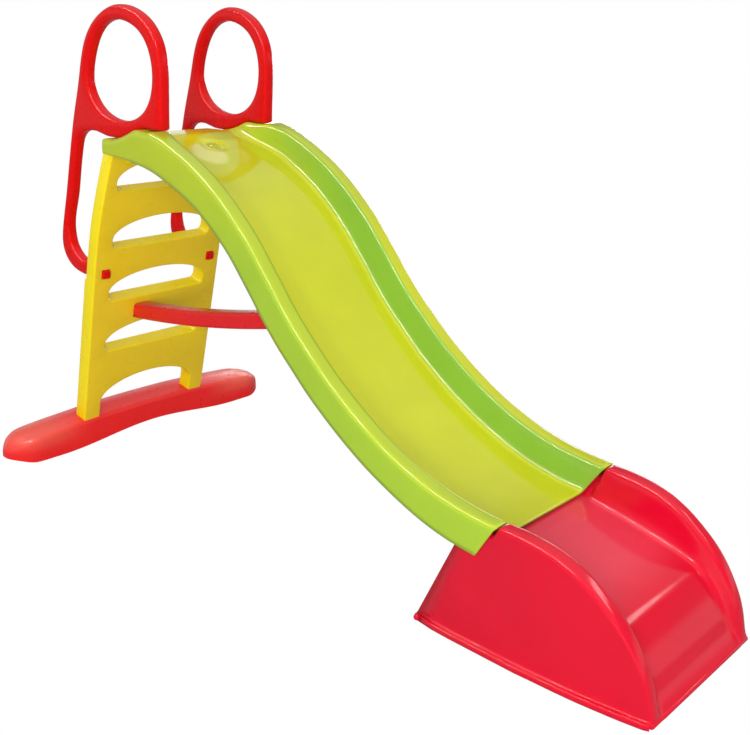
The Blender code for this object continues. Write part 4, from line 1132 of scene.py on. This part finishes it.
def hexagon(bm, origin, axis, across, height, bore=0.0, chamfer=0.0006):
    """Hexagon head or nut with chamfered corners, as a stack of 48-sided rings that follow the flats."""
    axis = Vector(axis).normalized()
    side = axis.orthogonal().normalized()
    other = axis.cross(side)
    n = 48

    def ring(along, scale, radius=None):
        out = []
        for k in range(n):
            a = 2 * math.pi * k / n
            flat = across / 2 / math.cos((a + math.pi / 6) % (math.pi / 3) - math.pi / 6)
            r = min(flat, radius) if radius else flat
            out.append(bm.verts.new(Vector(origin) + axis * along + (side * math.cos(a) + other * math.sin(a)) * r * scale))
        return out

    def circle(along, radius):
        return [
            bm.verts.new(Vector(origin) + axis * along + (side * math.cos(2 * math.pi * k / n) + other * math.sin(2 * math.pi * k / n)) * radius)
            for k in range(n)
        ]

    rows = [circle(0, bore)] if bore else []
    rows += [circle(0, across / 2 * 0.97), ring(chamfer, 1.0), ring(height - chamfer, 1.0), circle(height, across / 2 * 0.97)]
    if bore:
        rows.append(circle(height, bore))
        rows.append(rows[0])
        walls(bm, rows)
    else:
        walls(bm, rows)
        bm.faces.new(rows[0])
        bm.faces.new(rows[-1])


def build_fasteners(cz):
    px = BRACE_PIN[0]
    for side, s in (("left", 1), ("right", -1)):
        for i, x in enumerate(GRIP_SCREW_X):
            seat = Vector((x, s * (GRIP_Y + GRIP_TOE * (GRIP_X - x)), table(SADDLE, x) - WALL - 0.0012))
            build_screw(f"handle_screw_{side}_{i + 1}", seat, (0, 0, 1), 0.026)
        for i, x in enumerate(RUNOUT_SCREW_X):
            build_screw(f"run_out_screw_{side}_{i + 1}", Vector((x, s * RUNOUT_SCREW_Y, rim_height(x) - WALL - 0.0012)), (0, 0, 1), 0.0155)
        build_screw(f"ladder_top_screw_{side}", on_ladder(s * TOP_SCREW[0], TOP_SCREW[1], 2 * GAP + RIB_T + 0.0003), -N_AXIS, 0.016)
        build_screw(f"brace_screw_{side}", on_ladder(BRACE_MID + s * BRACE_SCREW[0], BRACE_SCREW[1], -LADDER_T - 0.0003), N_AXIS, 0.069)
        build_screw(f"leg_screw_{side}", leg_seat(s), T_AXIS, 0.024)
    face = BRACE_Y + GAP + RIB_T + 0.0004
    bm = bmesh.new()
    hexagon(bm, (px, BRACE_MID + face + 0.0044, cz), (0, -1, 0), 0.0130, 0.0044)
    turned(bm, [(0, 0.0040), (0, 0.0076), (0.0003, 0.0078), (0.0009, 0.0078), (0.0010, 0.0076), (0.0010, 0.0040)], (px, BRACE_MID + face + 0.0011, cz), (0, -1, 0), 40, closed=True)
    profile = [(0, 0), (0, 0.0041), (2 * face - 0.001, 0.0041)]
    for k in range(16):
        profile.append((2 * face - 0.0006 + 0.0006 * k, 0.0041 if k % 2 else 0.0036))
    profile += [(2 * face + 0.0094, 0.0032), (2 * face + 0.0094, 0)]
    turned(bm, profile, (px, BRACE_MID + face, cz), (0, -1, 0), 32)
    done(finish_mesh("brace_bolt_detail", bm, 35), ZINC, "brace_bolt")
    bm = bmesh.new()
    hexagon(bm, (px, BRACE_MID - face - 0.0001, cz), (0, -1, 0), 0.0135, 0.0062, bore=0.0042)
    done(finish_mesh("brace_nut_detail", bm, 35), ZINC, "brace_nut")


def build_inlet():
    p, t, n = DISH_AT, DISH_T, DISH_N
    floor = p - n * DISH_DEPTH
    bm = bmesh.new()
    profile = [
        (-0.0004, 0.0150), (0.0010, 0.0152), (0.0019, 0.0149), (0.0024, 0.0140), (0.0022, 0.0118), (0.0014, 0.0106),
        (0.0010, 0.0096), (0.0013, 0.0084), (0.0030, 0.0074), (0.0040, 0.0064), (0.0044, 0.0056), (0.0042, 0.0047),
        (0.0036, 0.0043), (-0.0300, 0.0043), (-0.0300, 0.0058), (-0.0270, 0.0073), (-0.0262, 0.0073), (-0.0235, 0.0060),
        (-0.0228, 0.0073), (-0.0222, 0.0073), (-0.0200, 0.0060), (-0.0188, 0.0073), (-0.0004, 0.0073),
    ]
    turned(bm, profile, floor, n, 56, closed=True)
    done(finish_mesh("water_inlet_detail", bm, 40), INLET, "water_inlet")
    bm = bmesh.new()
    seat = p - n * (WALL + 0.0010)
    axis = n
    side = axis.orthogonal().normalized()
    other = axis.cross(side)
    rows = []
    for along, radius in ((0, 0.0078), (0, 0.0128), (-0.0005, 0.0134), (-0.0058, 0.0134), (-0.0065, 0.0126), (-0.0065, 0.0078)):
        row = []
        for k in range(72):  # finger ribs round the nut
            a = 2 * math.pi * k / 72
            r = radius - (0.0009 if radius > 0.0132 and k % 6 in (0, 1) else 0.0)
            row.append(bm.verts.new(seat + axis * along + (side * math.cos(a) + other * math.sin(a)) * r))
        rows.append(row)
    walls(bm, rows + [rows[0]])
    done(finish_mesh("inlet_nut_detail", bm, 40), INLET, "inlet_nut")


# ------------------------------------------------------------------------ build
build_chute()
build_run_out()
build_ladder()
build_base_foot()
build_grip("left", 1)
build_grip("right", -1)
_, pin_z = build_brace()
build_fasteners(pin_z)
build_inlet()

# ------------------------------------------------------------------------ stage
scene = bpy.context.scene
scene.view_settings.view_transform = "Standard"
scene.view_settings.look = "None"

bm = bmesh.new()
bmesh.ops.create_grid(bm, x_segments=1, y_segments=1, size=30)
floor_obj = finish_mesh("floor", bm, smooth_all=False)
floor_obj.location = (0, 0, -0.0005)
floor_material = bpy.data.materials.new("floor")
floor_material.use_nodes = True
tree = floor_material.node_tree
out = tree.nodes["Material Output"]
matt = tree.nodes["Principled BSDF"]
matt.inputs["Base Color"].default_value = (0.42, 0.42, 0.42, 1)
matt.inputs["Roughness"].default_value = 0.9
matt.inputs["Specular IOR Level"].default_value = 0.0
white = tree.nodes.new("ShaderNodeEmission")
white.inputs["Color"].default_value = (1, 1, 1, 1)
white.inputs["Strength"].default_value = 1.0
seen = tree.nodes.new("ShaderNodeLightPath")
choice = tree.nodes.new("ShaderNodeMixShader")
tree.links.new(seen.outputs["Is Camera Ray"], choice.inputs[0])
tree.links.new(matt.outputs[0], choice.inputs[1])
tree.links.new(white.outputs[0], choice.inputs[2])
tree.links.new(choice.outputs[0], out.inputs["Surface"])
floor_obj.data.materials.append(floor_material)

world = bpy.data.worlds.new("studio")
scene.world = world
world.use_nodes = True
tree = world.node_tree
background = tree.nodes["Background"]
where = tree.nodes.new("ShaderNodeTexCoord")
parts = tree.nodes.new("ShaderNodeSeparateXYZ")
tree.links.new(where.outputs["Generated"], parts.inputs[0])
ramp = tree.nodes.new("ShaderNodeValToRGB")
tree.links.new(parts.outputs["Z"], ramp.inputs["Fac"])
stops = ramp.color_ramp.elements
stops[0].position, stops[0].color = 0.0, (0.9, 0.9, 0.9, 1)
stops[1].position, stops[1].color = 0.15, (0.9, 0.9, 0.9, 1)
for position, level in ((0.24, 0.32), (0.50, 0.28), (0.62, 0.78), (0.80, 0.95), (1.0, 1.0)):
    stop = stops.new(position)
    stop.color = (level, level, level, 1)
seen = tree.nodes.new("ShaderNodeLightPath")
choice = tree.nodes.new("ShaderNodeMix")
choice.data_type = "RGBA"
choice.inputs["B"].default_value = (1, 1, 1, 1)
tree.links.new(seen.outputs["Is Camera Ray"], choice.inputs["Factor"])
tree.links.new(ramp.outputs["Color"], choice.inputs["A"])
tree.links.new(choice.outputs["Result"], background.inputs["Color"])
background.inputs["Strength"].default_value = 1.0


def area_light(name, at, to, size, size_y, watts, colour=(1, 1, 1)):
    data = bpy.data.lights.new(name, "AREA")
    data.shape = "RECTANGLE"
    data.size, data.size_y = size, size_y
    data.energy = watts
    data.color = colour
    lamp = bpy.data.objects.new(name, data)
    scene.collection.objects.link(lamp)
    lamp.location = at
    lamp.rotation_euler = (Vector(to) - Vector(at)).to_track_quat("-Z", "Y").to_euler()
    return lamp


# a long narrow tube along the slide draws the thin lines on its edges, a small box far behind it the gleam on the
# run-out's bend; the two large ones only brighten
strip = area_light("strip", (-0.25, -1.05, 2.10), (-0.15, -0.10, 0.4), 3.2, 0.08, 62)
rear_strip = area_light("rear_strip", (-1.35, 2.60, 0.95), (-0.10, -0.10, 0.5), 3.4, 0.16, 24)
gleam = area_light("gleam", (1.60, 1.45, 1.46), (0.78, 0.0, 0.12), 0.9, 0.22, 4.0)
for lamp in (strip, rear_strip, gleam):
    lamp.visible_diffuse = False
    lamp.visible_camera = False
side_fill = area_light("side_fill", (0.6, -3.4, 2.4), (0, 0, 0.4), 2.6, 2.2, 20)
front_fill = area_light("front_fill", (2.6, -2.6, 1.0), (-0.3, 0, 0.35), 2.0, 1.5, 92)
for lamp in (side_fill, front_fill):
    lamp.visible_glossy = False
    lamp.visible_camera = False

camera_data = bpy.data.cameras.new("camera")
camera_data.sensor_width = 36.0
camera_data.lens = 982.13 / 750 * 36.0
camera_data.clip_start, camera_data.clip_end = 0.05, 100
camera = bpy.data.objects.new("camera", camera_data)
camera.location = (1.46076, -1.40311, 1.02360)
camera.rotation_euler = (math.radians(71.552), 0, math.radians(44.085))
scene.collection.objects.link(camera)
scene.camera = camera
